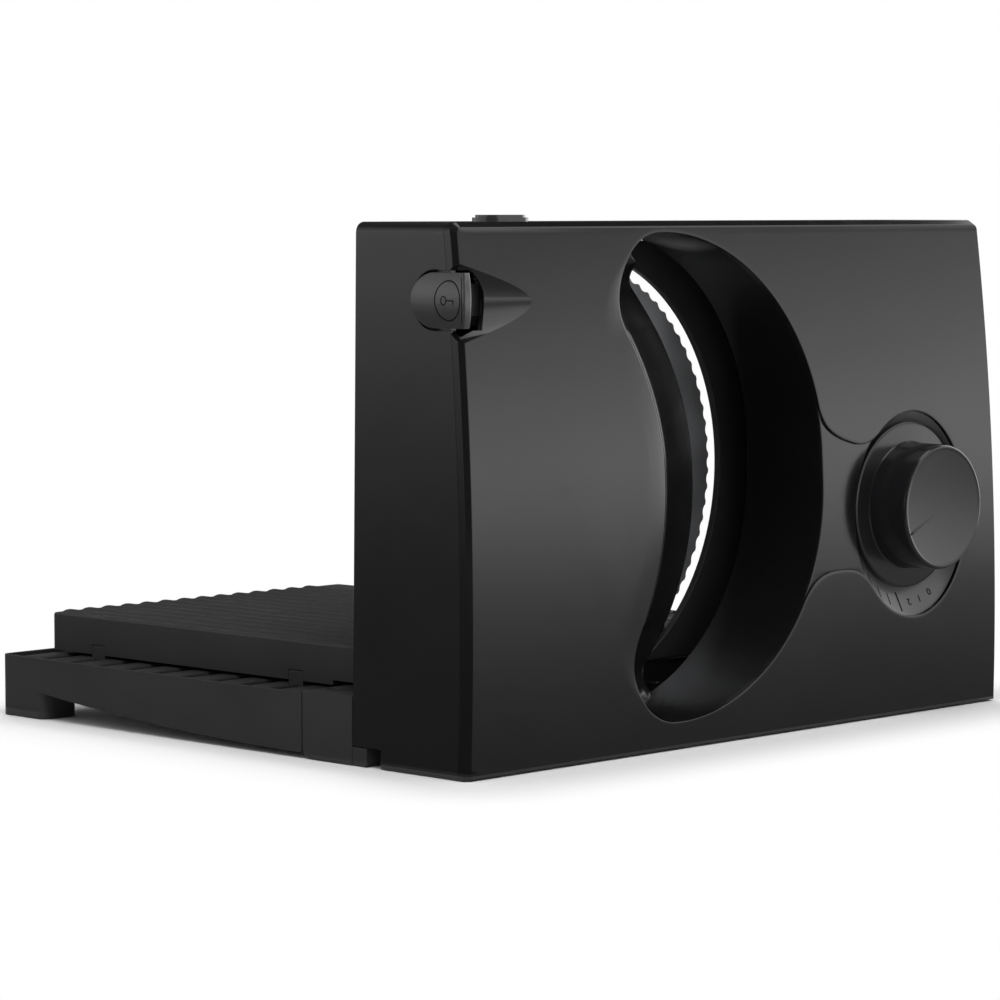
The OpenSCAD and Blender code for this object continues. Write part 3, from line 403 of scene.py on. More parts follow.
metal("can_grey", (0.34, 0.35, 0.36), 0.35, 0.5, MOTOR_AXIS, 900.0)
plastic("inner_grey", (0.07, 0.07, 0.075), 0.4, 0.55, bump=0.2)
plastic("inner_white", (0.74, 0.73, 0.68), 0.35, 0.5, mottle=0.12, bump=0.1)
# Painted light: a lighter grey, duller copy of the cover black for the dial's dish, brightened as if its wall
# caught more light.
plastic("dish_painted_light", (0.12, 0.12, 0.122), 0.3, 0.4)
plastic("mark_dark", (0.003, 0.003, 0.003), 0.5, 0.65, specular=0.1)
plastic("foot_rubber", (0.018, 0.018, 0.018), 0.6, 0.8, bump=0.5, grain=1600.0, specular=0.25)
print("finishes:", ", ".join(finishes))

# %% [markdown]
# Operators work on what is selected, so selecting comes before all modelling. A test looks at each vertex,
# edge or face and says whether it is picked, which stands in for the mouse.

# %% Selecting
def alone(piece):
    if bpy.context.mode != "OBJECT":
        bpy.ops.object.mode_set(mode="OBJECT")
    bpy.ops.object.select_all(action="DESELECT")
    piece.select_set(True)
    bpy.context.view_layer.objects.active = piece


def pick_listed(piece, kind, elements):
    """Go into edit mode with the listed vertices, edges or faces selected."""
    numbers = [element.index for element in elements]
    alone(piece)
    bpy.ops.object.mode_set(mode="EDIT")
    bpy.ops.mesh.select_mode(type=kind)
    bpy.ops.mesh.select_all(action="DESELECT")
    bpy.ops.object.mode_set(mode="OBJECT")
    every = {"VERT": piece.data.vertices, "EDGE": piece.data.edges, "FACE": piece.data.polygons}[kind]
    for number in numbers:
        every[number].select = True
    bpy.ops.object.mode_set(mode="EDIT")


def pick_all(piece):
    pick_listed(piece, "VERT", piece.data.vertices)


def pick_edges(piece, test):
    """Pick the edges whose two ends pass the test."""
    points = piece.data.vertices
    pick_listed(piece, "EDGE", [e for e in piece.data.edges if test(*(points[i].co for i in e.vertices))])


def leave():
    bpy.ops.object.mode_set(mode="OBJECT")


def close_up(piece):
    """Merge doubles and turn the faces outwards."""
    pick_all(piece)
    bpy.ops.mesh.remove_doubles(threshold=0.0005)
    bpy.ops.mesh.normals_make_consistent(inside=False)
    leave()


print("picking by place")

# %% [markdown]
# The front cover is the face of the machine. Its hole runs in one line round the crescent opening, along
# two hollow curves of a neck and round the dial, all of arcs that touch. A curve object drawn by eye would
# show a kink where arcs meet, so their centres and ends are worked out from the sizes.

# %% Lines of the front
WIDE, TALL, FOOT, DRAFT, CORNER_R = 322.0, 205.0, 0.3, 2.5, 4.0
COVER, BOW_R, BOW_Z = 2.8, 1300.0, 40.0
OPEN_Z = 105.8
OPEN_R, END_R, NECK_UP_R, NECK_LOW_R = 88.8, 25.0, 23.0, 26.0
UP, LOW = Vector((118.5, 111.8)), Vector((118.5, 99.8))
RIM, RIM_R = Vector((-8.7, OPEN_Z)), 118.3
DIAL, DIAL_R, DIAL_SLOPE = Vector((266.0, 84.5)), 43.5, 0.6875


def bow(z):
    """How far the bowed front lies back at a height."""
    return BOW_R - math.sqrt(BOW_R ** 2 - (z - BOW_Z) ** 2)


def meet(c1, r1, c2, r2):
    """Crossing of two circles on the left of the line from the first centre to the second."""
    gap = (c2 - c1).length
    along = (c2 - c1) / gap
    a = (r1 * r1 - r2 * r2 + gap * gap) / (2 * gap)
    return c1 + a * along + math.sqrt(r1 * r1 - a * a) * Vector((-along.y, along.x))


def bearing(start, end):
    return math.degrees(math.atan2(end.y - start.y, end.x - start.x))


def arc(centre, radius, start, end, way, side, step=1.4):
    """Points along an arc, with the direction into the cover (side 1: away from the centre) and the share."""
    while way > 0 and end < start:
        end += 360
    while way < 0 and end > start:
        end -= 360
    reach = radius if callable(radius) else lambda a: radius
    count = max(3, int(abs(math.radians(end - start)) * reach(math.radians(start)) / step))
    made = []
    for i in range(count + 1):
        a = math.radians(start + (end - start) * i / count)
        ray = Vector((math.cos(a), math.sin(a)))
        made.append((centre + reach(a) * ray, side * ray, i / count))
    return made


def dial_edge(a):
    """Radius of the dish where it meets the bowed face, in the direction a."""
    r = DIAL_R
    for _ in range(4):
        r = DIAL_R - DIAL_SLOPE * bow(DIAL.y + r * math.sin(a))
    return r


print("the bow lies", round(bow(TALL), 2), "mm back at the top")

# %% [markdown]
# With these the arcs are placed in turn. The crescent's ends touch the rim and the large arcs from inside, and
# the two curves of the neck touch the large arcs and the dish from outside. The dish's radius changes with the
# bow, so the neck is found in a few rounds.

# %% Arcs of the hole
END_UP = meet(RIM, RIM_R + END_R, UP, OPEN_R - END_R)
END_LOW = Vector((END_UP.x, 2 * OPEN_Z - END_UP.y))
above, below = Vector((216, 130)), Vector((210, 45))
for _ in range(4):
    above = meet(UP, OPEN_R + NECK_UP_R, DIAL, dial_edge(math.radians(bearing(DIAL, above))) + NECK_UP_R)
    below = meet(DIAL, dial_edge(math.radians(bearing(DIAL, below))) + NECK_LOW_R, LOW, OPEN_R + NECK_LOW_R)

rim_arc = arc(RIM, RIM_R, -bearing(RIM, END_UP), bearing(RIM, END_UP), 1, -1)
top_end = arc(END_UP, END_R, bearing(END_UP, RIM) + 360, bearing(UP, END_UP), -1, 1, 0.9)
top_arc = arc(UP, OPEN_R, bearing(UP, END_UP), bearing(UP, above), -1, 1)
neck_top = arc(above, NECK_UP_R, bearing(above, UP), bearing(above, DIAL), 1, -1, 0.9)
dial_arc = arc(DIAL, dial_edge, bearing(DIAL, above), bearing(DIAL, below), -1, 1)
neck_low = arc(below, NECK_LOW_R, bearing(below, DIAL), bearing(below, LOW), 1, -1, 0.9)
low_arc = arc(LOW, OPEN_R, bearing(LOW, below), bearing(LOW, END_LOW), -1, 1)
low_end = arc(END_LOW, END_R, bearing(LOW, END_LOW), bearing(END_LOW, RIM), -1, 1, 0.9)
print("ends at", tuple(END_UP), "neck arcs about", tuple(above), tuple(below))

# %% [markdown]
# Two things on the real cover leave the plain arcs: the dish is narrower than it is tall, and the left rim
# bulges a little below its middle. Both are small shifts of the points. Along the left rim the face also rolls
# off softly over a thumb's width, which gives the broad pale halo beside the opening, while everywhere else
# the edge is nearly crisp. So each point carries its share of that roll, which fades out round both ends.

# %% Line of the hole
DIAL_NARROW, DIAL_RIGHT, NECK_START = 0.885, 0.81, 208.0
RIM_SHIFT, ROLL_OUT = 4.0, 0.6


def fade(t):
    t = min(1.0, max(0.0, t))
    return t * t * (3 - 2 * t)


def narrowed(p):
    """Draw the dish's points in towards its upright middle line, and the neck's with them."""
    edge = DIAL.x - DIAL_R
    if p.x > DIAL.x:
        return Vector((DIAL.x + DIAL_RIGHT * (p.x - DIAL.x), p.y))
    if p.x > edge:
        return Vector((DIAL.x + DIAL_NARROW * (p.x - DIAL.x), p.y))
    share = fade((p.x - NECK_START) / (edge - NECK_START))
    return Vector((p.x + (1 - DIAL_NARROW) * DIAL_R * share, p.y))


def rim_shift(z):
    """How far the rim bulges to the right of the plain arc."""
    return RIM_SHIFT * fade((188 - z) / 72) * fade((z - 18) / 32)


def rolled(points, softness):
    """Points of the rim with their share of the soft roll, which is also their share of the bulge."""
    return [(Vector((p.x + softness(t) * rim_shift(p.y), p.y)), d, softness(t)) for p, d, t in points]


line = rolled(rim_arc, lambda t: 1.0)
line += rolled(top_end[1:], lambda t: fade(1 - t / ROLL_OUT))
for part in (top_arc, neck_top, dial_arc, neck_low, low_arc):
    line += [(narrowed(p), d, 0.0) for p, d, t in part[1:]]
line += rolled(low_end[1:-1], lambda t: fade((t - (1 - ROLL_OUT)) / ROLL_OUT))
print("line of the hole:", len(line), "points")

# %% [markdown]
# No primitive has that line, so the cover is skinned from rings of points. Far from the rim the rings lie on
# the face; towards the hole they roll over and turn back. The outer edge is made in the same way, with a
# narrow chamfer that catches the light at the top and the left.

# %% Rings of the cover
def skin(name, rows, around, closed):
    """Skin rows of points: around joins each row's ends, closed joins the last row to the first."""
    count = len(rows[0])
    points = [p for r in rows for p in r]
    faces = []
    for i in range(len(rows) if closed else len(rows) - 1):
        for j in range(count if around else count - 1):
            a, b = i * count + j, i * count + (j + 1) % count
            c, d = (i + 1) % len(rows) * count + j, (i + 1) % len(rows) * count + (j + 1) % count
            faces.append((a, b, d, c))
    if around and not closed:
        faces.append(tuple(reversed(range(count))))
        faces.append(tuple(range((len(rows) - 1) * count, len(rows) * count)))
    mesh = bpy.data.meshes.new(name)
    mesh.from_pydata([tuple(p) for p in points], [], faces)
    piece = bpy.data.objects.new(name, mesh)
    bpy.context.scene.collection.objects.link(piece)
    return piece


def outline(inset):
    """The housing seen from the front, drawn in: fully at the left and top, less at the right and the foot."""
    r = max(CORNER_R - inset, 0.6)
    left, right, top, low = inset, WIDE - 0.3 * inset, TALL - inset, FOOT + 0.25 * inset
    points = [(left, low), (right, low)]
    for centre, start in ((right - DRAFT - r, 0), (left + DRAFT + r, 90)):
        for i in range(9):
            a = math.radians(start + 90 * i / 8)
            points.append((centre + r * math.cos(a), top - r + r * math.sin(a)))
    return points


def outline_rows(steps):
    """Rings along the housing's outline, given as (inset, depth)."""
    return [[(x, y, z) for x, z in outline(inset)] for inset, y in steps]


def rim_rows():
    """Rings from the flat face to the back of the rim: a soft roll, a round edge, then the wall."""
    sized = [(p, d, s, 0.4 + 2.8 * s, 1.2 + 10.8 * s, 0.06 + 1.04 * s) for p, d, s in line]
    rows = []
    for f in (1, 0.82, 0.66, 0.5, 0.36, 0.24, 0.14, 0.06, 0):
        rows.append([(p, d, edge_r + roll * f, drop * (1 - f) ** 2) for p, d, s, edge_r, roll, drop in sized])
    for t in range(10, 91, 10):
        sin, cos = math.sin(math.radians(t)), math.cos(math.radians(t))
        rows.append([(p, d, edge_r * (1 - sin), drop + edge_r * (1 - cos))
                     for p, d, s, edge_r, roll, drop in sized])
    for off, level in ((0.0, 0.3), (0.8, 0.3), (0.8, 0.0)):
        rows.append([(p, d, off, COVER + level * 5 * s) for p, d, s in line])
    return [[(p.x + off * d.x, y, p.y + off * d.y) for p, d, off, y in row] for row in rows]


edge_steps = [(2.5, COVER), (2.5, 5.0), (0.05, 5.0), (0.0, 4.95), (0.0, 2.3), (0.08, 2.0), (0.25, 1.75),
              (1.75, 0.25), (2.0, 0.08), (2.3, 0.0)]
ring = skin("rim_rings", rim_rows(), True, False)
edge = skin("edge_rings", outline_rows(edge_steps), True, False)
print("rings:", len(ring.data.polygons), "faces round the hole,", len(edge.data.polygons), "round the edge")

# %% [markdown]
# Now the rings lose their end faces and are joined, and the face between them is filled, in front and behind.
# It is cut into level strips and only then set back along the bow. A face bowed first and filled later would
# have long crooked triangles, and every reflection would show them.

# %% Face of the cover
def join(*pieces):
    alone(pieces[0])
    for piece in pieces[1:]:
        piece.select_set(True)
    bpy.ops.object.join()
    return bpy.context.object


def cut(piece, point, away, **how):
    """Cut all of a piece along a plane."""
    pick_all(piece)
    bpy.ops.mesh.bisect(plane_co=point, plane_no=away, **how)
    leave()


def strips(piece, low, high, step):
    """Cut a piece into level strips."""
    z = low
    while z < high:
        cut(piece, (0, 0, z), (0, 0, 1))
        z += step


def set_back(piece):
    """Lay a flat piece along the bow of the front."""
    for v in piece.data.vertices:
        v.co.y += bow(v.co.z)


for piece in (ring, edge):
    pick_listed(piece, "FACE", [f for f in piece.data.polygons if len(f.vertices) > 4])
    bpy.ops.mesh.delete(type="ONLY_FACE")
    leave()
cover = join(edge, ring)
for depth in (0.0, COVER):
    uses = Counter(key for f in cover.data.polygons for key in f.edge_keys)
    level = {v.index for v in cover.data.vertices if abs(v.co.y - depth) < 1e-4}
    open_edges = [e for e in cover.data.edges if uses[e.key] == 1 and level.issuperset(e.vertices)]
    pick_listed(cover, "EDGE", open_edges)
    bpy.ops.mesh.fill(use_beauty=True)
    leave()
print("flat cover:", len(cover.data.polygons), "faces")
strips(cover, 4, 204, 4)
set_back(cover)
close_up(cover)

# %% [markdown]
# A shaped piece still has to be finished. It is shaded smooth except at its sharp edges, its large faces are
# made to look flat, and it is settled: named, scaled to metres, moved so that its place is in its mesh, and
# tied to the body that it moves with.

# %% Finishing a piece
MM = 0.001
CORNER = Vector((-0.161, -0.1295, 0.0))


def smooth(piece, degrees=35):
    alone(piece)
    bpy.ops.object.shade_smooth_by_angle(angle=math.radians(degrees))
    return piece


def even(piece):
    """Let the large flat faces decide the shading, so that only the rounded edges curve the light."""
    alone(piece)
    step = piece.modifiers.new("even", "WEIGHTED_NORMAL")
    step.mode = "FACE_AREA"
    step.weight = 100
    step.keep_sharp = True
    bpy.ops.object.modifier_apply(modifier=step.name)
    return piece


def settle(piece, name, slot, body, *stands_for, in_metres=False, look=None):
    """Name a finished piece, put it into the shared frame and let it ride on its body."""
    alone(piece)
    if not in_metres:
        piece.scale = (MM, MM, MM)
        piece.location = CORNER
        bpy.ops.object.transform_apply(location=True, rotation=True, scale=True)
    piece.name = name
    piece.data.name = name
    piece.data.materials.clear()
    piece.data.materials.append(finishes[look or slot])
    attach(piece, body)
    if stands_for:
        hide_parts(*stands_for)
    print(name, len(piece.data.polygons), "faces on", body)
    return piece


print("pieces are settled from the corner at", tuple(CORNER))

# %% [markdown]
# Beside the lock button the face has a finger scoop: a cone lying on its side, cut into the left edge. It
# is deeper than the cover, so a shell of the same cone is first joined on from behind. The cone and a curved
# block for the button are then cut away, and the scoop's edge is marked sharp, because the two surfaces meet
# at a shallow angle and would shade into each other.

# %% Scoop
LOCK_Z, LOCK_ROOM = 176.3, 11.6
GAP_LOW, GAP_HIGH = 165.2, 187.4
SCOOP_START, SCOOP_LONG, SCOOP_OUT, SCOOP_R = -1.0, 43.0, 9.0, 18.2
SCOOP_TIP_R = SCOOP_OUT - 0.35
SCOOP_Y = bow(LOCK_Z) - SCOOP_OUT


def bar(name, low, high):
    """A box between two corners, in millimetres."""
    middle = [(a + b) / 2 for a, b in zip(low, high)]
    bpy.ops.object.select_all(action="DESELECT")
    bpy.ops.mesh.primitive_cube_add(size=1, location=middle)
    piece = bpy.context.object
    piece.name = name
    piece.scale = [b - a for a, b in zip(low, high)]
    bpy.ops.object.transform_apply(location=True, scale=True)
    return piece


def combine(piece, other, operation="DIFFERENCE"):
    """Boolean with a helper piece, which is then thrown away."""
    alone(piece)
    step = piece.modifiers.new("cut", "BOOLEAN")
    step.operation = operation
    step.solver = "EXACT"
    step.object = other
    bpy.ops.object.modifier_apply(modifier=step.name)
    bpy.data.objects.remove(other)


def cone(grow):
    bpy.ops.object.select_all(action="DESELECT")
    bpy.ops.mesh.primitive_cone_add(vertices=160, radius1=SCOOP_R + grow, radius2=SCOOP_TIP_R + grow,
                                    depth=SCOOP_LONG, rotation=(0, math.radians(90), 0),
                                    location=(SCOOP_START + SCOOP_LONG / 2, SCOOP_Y, LOCK_Z))
    bpy.ops.object.transform_apply(location=True, rotation=True)
    return bpy.context.object


def scoop_edge(p):
    radius = SCOOP_R + (SCOOP_TIP_R - SCOOP_R) * (p.x - SCOOP_START) / SCOOP_LONG
    return abs(math.hypot(p.y - SCOOP_Y, p.z - LOCK_Z) - radius) < 0.05 and abs(p.y - bow(p.z)) < 0.1


backing = cone(1.8)
lean = math.asin((LOCK_Z - BOW_Z) / BOW_R)
for point, away in (((LOCK_ROOM, 0, 0), (-1, 0, 0)),
                    ((0, bow(LOCK_Z) + 1.4, LOCK_Z), (0, -math.cos(lean), math.sin(lean)))):
    cut(backing, point, away, use_fill=True, clear_outer=True)
combine(cover, backing, "UNION")
combine(cover, cone(0))
gap = bar("button_gap", (-2, -2, GAP_LOW), (20.2, bow(LOCK_Z) + 8, GAP_HIGH))
strips(gap, 166, 187, 1.5)
for v in gap.data.vertices:
    if v.co.x > 17:
        v.co.x -= (v.co.z - LOCK_Z) ** 2 / (13 if v.co.z > LOCK_Z else 24)
combine(cover, gap)
pick_edges(cover, lambda a, b: scoop_edge(a) and scoop_edge(b))
bpy.ops.mesh.mark_sharp()
leave()
settle(even(smooth(cover, 32)), "front_cover", "cover_black", "housing", "front_cover")

# %% [markdown]
# Behind the opening's right side a thin wall closes the way out to the side: the chute. It follows the same
# arcs without the neck, so the corners of its section are carried along them and skinned. It ends where the
# lip on the other side begins.

# %% Chute
LIP, LIP_R = Vector((39.0, OPEN_Z)), 102.7
CHUTE_END = 43.3


def clear_of_lip(points):
    return [point for point in points if (point[0] - LIP).length > LIP_R + 0.2]


right_side = clear_of_lip(top_end)
right_side += arc(UP, OPEN_R, bearing(UP, END_UP), 0, -1, 1)[1:]
right_side += arc(LOW, OPEN_R, 0, bearing(LOW, END_LOW), -1, 1)
right_side += clear_of_lip(low_end[1:])
sections = []
for p, d, t in right_side:
    front = bow(p.y) + 1.5
    corners = ((0.04, front), (0.04, (front + CHUTE_END) / 2), (0.04, CHUTE_END - 0.5), (0.4, CHUTE_END),
               (1.2, CHUTE_END), (1.5, CHUTE_END - 0.4), (1.5, front))
    sections.append([(p.x + off * d.x, y, p.y + off * d.y) for off, y in corners])
chute = skin("chute_wall", sections, True, False)
close_up(chute)
# The wall takes the darker copy of the cover black, as painted shade.
settle(smooth(chute), "chute_wall", "cover_black", "housing", look="chute_painted_shade")

# %% [markdown]
# The neck is a shallow step between the opening and the dial. Its floor is a plate drawn from the same
# arcs, a little larger where it slips under the face and softly rounded where it drops into the opening
# and into the dial.

# %% Neck floor
def shrink(loop, by):
    """Draw a loop of points in by a small distance."""
    made = []
    for i, p in enumerate(loop):
        along = (loop[(i + 1) % len(loop)] - loop[i - 1]).normalized()
        made.append(p + by * Vector((along.y, -along.x)))
    return made


neck_arcs = arc(UP, OPEN_R, bearing(UP, above), 0, -1, 1)
neck_arcs += arc(LOW, OPEN_R, 0, bearing(LOW, below), -1, 1)
neck_arcs += arc(below, NECK_LOW_R - 1, bearing(below, LOW), bearing(below, DIAL), -1, 1)
neck_arcs += arc(DIAL, dial_edge, bearing(DIAL, below), bearing(DIAL, above), -1, 1)
neck_arcs += arc(above, NECK_UP_R - 1, bearing(above, DIAL), bearing(above, UP), -1, 1)
neck_loop = [narrowed(p) for p, d, t in neck_arcs]
area = sum(a.x * b.y - b.x * a.y for a, b in zip(neck_loop, neck_loop[1:] + neck_loop[:1]))
inward = -1 if area > 0 else 1
rows = [[(p.x, y, p.y) for p in shrink(neck_loop, inward * by)] for by, y in
        ((0.0, 2.6), (0.0, 1.55), (0.12, 1.3), (0.4, 1.12), (0.9, 1.1))]
neck = skin("neck_floor", rows, True, False)
strips(neck, 40, 132, 4)
set_back(neck)
close_up(neck)
settle(smooth(neck), "neck_floor", "cover_black", "housing")

# %% [markdown]
# The dial sits in a dish: a small step, a sloping wall that carries the scale, and a flat floor with a hole
# for the knob's spindle. Its rim follows the bow and it is narrower than tall, so it is skinned from rings
# rather than spun.

# %% Dial dish
KNOB = Vector((266.0, 0.0, 87.0))
WALL_R, WALL_Y, HOLE_R = 35.6, 7.3, 7.0


def wall_top(a):
    """Where the dish's sloping wall starts, just under the face."""
    r = dial_edge(a)
    y = bow(DIAL.y + r * math.sin(a)) + 1.9
    edge = narrowed(DIAL + (r - 0.25) * Vector((math.cos(a), math.sin(a))))
    return Vector((edge.x, y, edge.y))


def wall_foot(a):
    """Where the wall ends, round the knob, which sits a little above the dish's middle."""
    return Vector((KNOB.x + WALL_R * math.cos(a), WALL_Y, KNOB.z + WALL_R * math.sin(a)))


back = Vector((0, 1, 0))
sections = []
for i in range(180):
    a = 2 * math.pi * i / 180
    ray = Vector((math.cos(a), 0, math.sin(a)))
    top, foot = wall_top(a), wall_foot(a)
    hole = KNOB + HOLE_R * ray
    sections.append([top + 2.2 * ray, top + 0.45 * ray, top + 0.25 * ray - 0.35 * back, top,
                     top.lerp(foot, 0.1), top.lerp(foot, 0.93), foot + 0.15 * back - 0.1 * ray,
                     foot + 0.45 * back - 0.8 * ray, foot + 0.7 * back - 2.0 * ray,
                     hole + 8.0 * back + 0.3 * ray, hole + 8.3 * back, hole + 10.5 * back,
                     foot + 3.2 * back + 1.5 * ray])
dish = skin("dial_dish", sections, True, True)
close_up(dish)
# The dish takes the lighter grey copy of the cover black, as painted light.
settle(smooth(dish, 30), "dial_dish", "cover_black", "housing", look="dish_painted_light")

# %% [markdown]
# Left of the opening a sloping band leads from behind the rim down to a lip, and a partition goes straight
# back from the lip. The section changes all the way along the crescent: it is widest in the middle, stays
# wide enough to be seen past the rim, and tapers off at both tips. So it is worked out for each height.

# %% Exit lip
LIP_LEAST, LIP_THIN, LIP_DEEP, LIP_END = 9.0, COVER + 0.4, 15.0, 26.8
END_H = END_UP.y - OPEN_Z
TIP_H = END_H + END_R - 2.5
TURN_H = END_H + END_R * (RIM - END_UP).normalized().y


def rim_side(h):
    """The rim's line at a height above the opening's middle."""
    if abs(h) <= TURN_H:
        return RIM.x + math.sqrt(RIM_R ** 2 - h * h) + rim_shift(OPEN_Z + h)
    return END_UP.x - math.sqrt(max(END_R ** 2 - (abs(h) - END_H) ** 2, 0))


def lip_shape(h):
    """Right edge and depth of the lip at a height above the opening's middle."""
    reach = LIP.x + math.sqrt(LIP_R ** 2 - h * h) - rim_side(h)
    wide = (reach + math.hypot(reach, 2 * LIP_LEAST)) / 2
    wide = max(0.4, wide * fade((TIP_H - abs(h)) / 10))
    return rim_side(h) + wide, LIP_THIN + (LIP_DEEP - LIP_THIN) * fade(reach / 20)


sections = []
for i in range(145):
    h = TIP_H * math.sin(math.radians(-85 + 170 * i / 144))
    z, x0 = OPEN_Z + h, rim_side(h)
    x1, deep = lip_shape(h)
    front = bow(z) + COVER + 0.1
    deep += bow(z)
    soft_r = min(1.6, (x1 - x0) / 4)
    section = [(x0 - 2.5, front), (x0 - 0.4, front)]
    for k in range(1, 9):
        t = k / 9
        sag = 0.9 * math.sin(math.pi * t) * min(1, (x1 - x0) / 14)
        section.append((x0 + (x1 - soft_r - x0) * t, front + (deep - front) * t + sag))
    for t in (0, 30, 60, 90):
        s, c = math.sin(math.radians(t)), math.cos(math.radians(t))
        section.append((x1 - soft_r * (1 - s), deep + soft_r * (1 - c)))
    section += [(x1, LIP_END), (x1 - 2, LIP_END), (x1 - 2, deep + 2.4), (x0 - 2.5, front + 2.2)]
    sections.append([(x, y, z) for x, y in section])
lip = skin("exit_lip", sections, True, False)
close_up(lip)
# The lip takes the darker copy of the cover black, as painted shade.
settle(smooth(lip, 40), "exit_lip", "cover_black", "housing", "exit_lip", look="chute_painted_shade")

# %% [markdown]
# The rear shell is the CAD solid with softened edges. Its mesh is loose triangles, so a copy is merged, its
# flat faces are dissolved back to whole ones, and a bevel rounds the edges enough to catch the light. Its foot
# is drawn down almost to the floor, as on the real machine.

# %% Rear shell
SHELL_FOOT = 1.2


def copied(node):
    """A copy of a CAD solid with its loose triangles merged."""
    piece = nodes[node].copy()
    piece.data = nodes[node].data.copy()
    for key in list(piece.keys()):
        del piece[key]
    piece.parent = None
    bpy.context.scene.collection.objects.link(piece)
    pick_all(piece)
    bpy.ops.mesh.remove_doubles(threshold=0.000002)
    leave()
    return piece


def softened(node, width, steps=2, angle=40):
    piece = copied(node)
    pick_all(piece)
    bpy.ops.mesh.dissolve_limited(angle_limit=math.radians(0.4), delimit=set())
    leave()
    step = piece.modifiers.new("soft", "BEVEL")
    step.width = width * MM
    step.segments = steps
    step.limit_method = "ANGLE"
    step.angle_limit = math.radians(angle)
    step.use_clamp_overlap = False
    bpy.ops.object.modifier_apply(modifier=step.name)
    return even(smooth(piece, angle))


shell = softened("rear_shell", 0.35)
for v in shell.data.vertices:
    if v.co.z < (SHELL_FOOT + 0.4) * MM:
        v.co.z -= (SHELL_FOOT - FOOT) * MM
settle(shell, "rear_shell", "shell_black", "housing", "rear_shell", in_metres=True)

# %% [markdown]
# Cover and shell meet at a parting line that is no more than a hairline. A thin band inside the seam closes
# the groove between the solids; it follows the cover's outline and bow and leaves the button's way free.

# %% Seam band
band = skin("seam_band", outline_rows([(0.05, 5.06), (-0.01, 5.12), (-0.01, 9.5), (1.15, 9.5), (1.15, 5.06)]),
            True, True)
strips(band, 4, 204, 4)
set_back(band)
for v in band.data.vertices:
    v.co.x = min(max(v.co.x, 0), WIDE)
close_up(band)
combine(band, bar("button_way", (-3, -5, GAP_LOW), (14, 45, GAP_HIGH)))
settle(smooth(band, 30), "seam_band", "shell_black", "housing")

# %% [markdown]
# The knob is turned: a plain grip with a bright rounded rim, standing on a thin skirt. A section drawn as a
# chain of points is spun round the axis, and a short groove on its face marks the setting.

# %% Knob
def spun(name, section, axis, steps=128):
    """Spin a chain of (radius, y) points round an axis along Y."""
    mesh = bpy.data.meshes.new(name)
    mesh.from_pydata([(axis.x + r, y, axis.z) for r, y in section],
                     [(i, i + 1) for i in range(len(section) - 1)], [])
    piece = bpy.data.objects.new(name, mesh)
    bpy.context.scene.collection.objects.link(piece)
    pick_all(piece)
    bpy.ops.mesh.spin(steps=steps, angle=2 * math.pi, center=axis, axis=(0, 1, 0))
    leave()
    close_up(piece)
    return piece


knob = spun("thickness_knob", [
    (0, -13.7), (23.4, -13.7), (23.9, -13.8), (24.3, -13.95), (24.7, -14.0), (25.1, -13.85), (25.4, -13.5),
    (25.6, -13.0), (25.75, -12.2), (26.0, 3.3), (26.1, 4.0), (26.5, 4.4), (27.0, 4.5), (33.4, 4.5),
    (34.0, 4.6), (34.4, 4.9), (34.5, 5.3), (34.5, 6.6), (34.2, 7.0), (23.2, 7.0), (23.15, -11.4),
    (7.5, -11.4), (7.5, 7.4), (4.02, 7.4), (4.02, -6.0), (0, -6.0)], KNOB)
groove = bar("groove", (-24.3, -14.6, -0.4), (-22.4, -13.2, 0.4))
groove.location = KNOB
groove.rotation_euler = (0, math.radians(-25), 0)
alone(groove)
bpy.ops.object.transform_apply(location=True, rotation=True)
combine(knob, groove)
settle(smooth(knob, 30), "thickness_knob", "knob_black", "knob", "thickness_knob")

# %% [markdown]
# The scale on the dish starts with the numbers 0 to 2 and goes on in ticks, every third one longer. They stand
# a hair proud of the sloping wall. A tick is a bar with rounded edges; the numbers are text made into mesh. A
# pattern in the material could draw the ticks as well, but here they are shapes in the mesh.

# %% Dial scale
SCALE_START, SCALE_STEP, LAST_MARK, FIRST_TICK = 156, 11, 17, 3


def round_edges(piece, width, steps, test):
    pick_edges(piece, test)
    bpy.ops.mesh.bevel(offset=width, segments=steps, affect="EDGES", clamp_overlap=True)
    leave()


def on_wall(angle):
    """A frame half way up the dish's wall: across, up the slope and out; angle is clockwise from the top."""
    a = math.radians(90 - angle)
    top, foot = wall_top(a), wall_foot(a)
    slope = (top - foot).normalized()
    across = Vector((math.sin(a), 0, -math.cos(a)))
    across = (across - across.dot(slope) * slope).normalized()
    out = across.cross(slope)
    turn = Matrix((across, slope, out)).transposed().to_4x4()
    return Matrix.Translation(foot.lerp(top, 0.5)) @ turn, (top - foot).length


def tick(room, long):
    half, wide = room * (0.38 if long else 0.24), 0.42 if long else 0.26
    mark = bar("tick", (-wide, -half, -0.3), (wide, half, 0.16))
    round_edges(mark, 0.1, 2, lambda a, b: a.z > 0 and b.z > 0)
    return mark


def number(value):
    bpy.ops.object.select_all(action="DESELECT")
    bpy.ops.object.text_add()
    mark = bpy.context.object
    mark.data.body = str(value)
    mark.data.size = 4.2
    mark.data.align_x = "CENTER"
    mark.data.align_y = "CENTER"
    mark.data.extrude = 0.15
    alone(mark)
    bpy.ops.object.convert(target="MESH")
    return mark


marks = []
for value in range(LAST_MARK + 1):
    where, room = on_wall(SCALE_START + SCALE_STEP * value)
    mark = tick(room, value % 3 == 0) if value >= FIRST_TICK else number(value)
    mark.matrix_world = where
    alone(mark)
    bpy.ops.object.transform_apply(location=True, rotation=True)
    marks.append(mark)
scale = join(*marks)
close_up(scale)
settle(scale, "dial_scale", "guide_black", "housing", look="mark_dark")

# %% [markdown]
# The lock button sits in the left side. A block gets a fully round rear end from one wide bevel, its front
# half is thinned and rounded, its outer face is bulged along a flat arc, and a slit is cut near its front end.
# A flange behind and a stem for the spring are joined on.

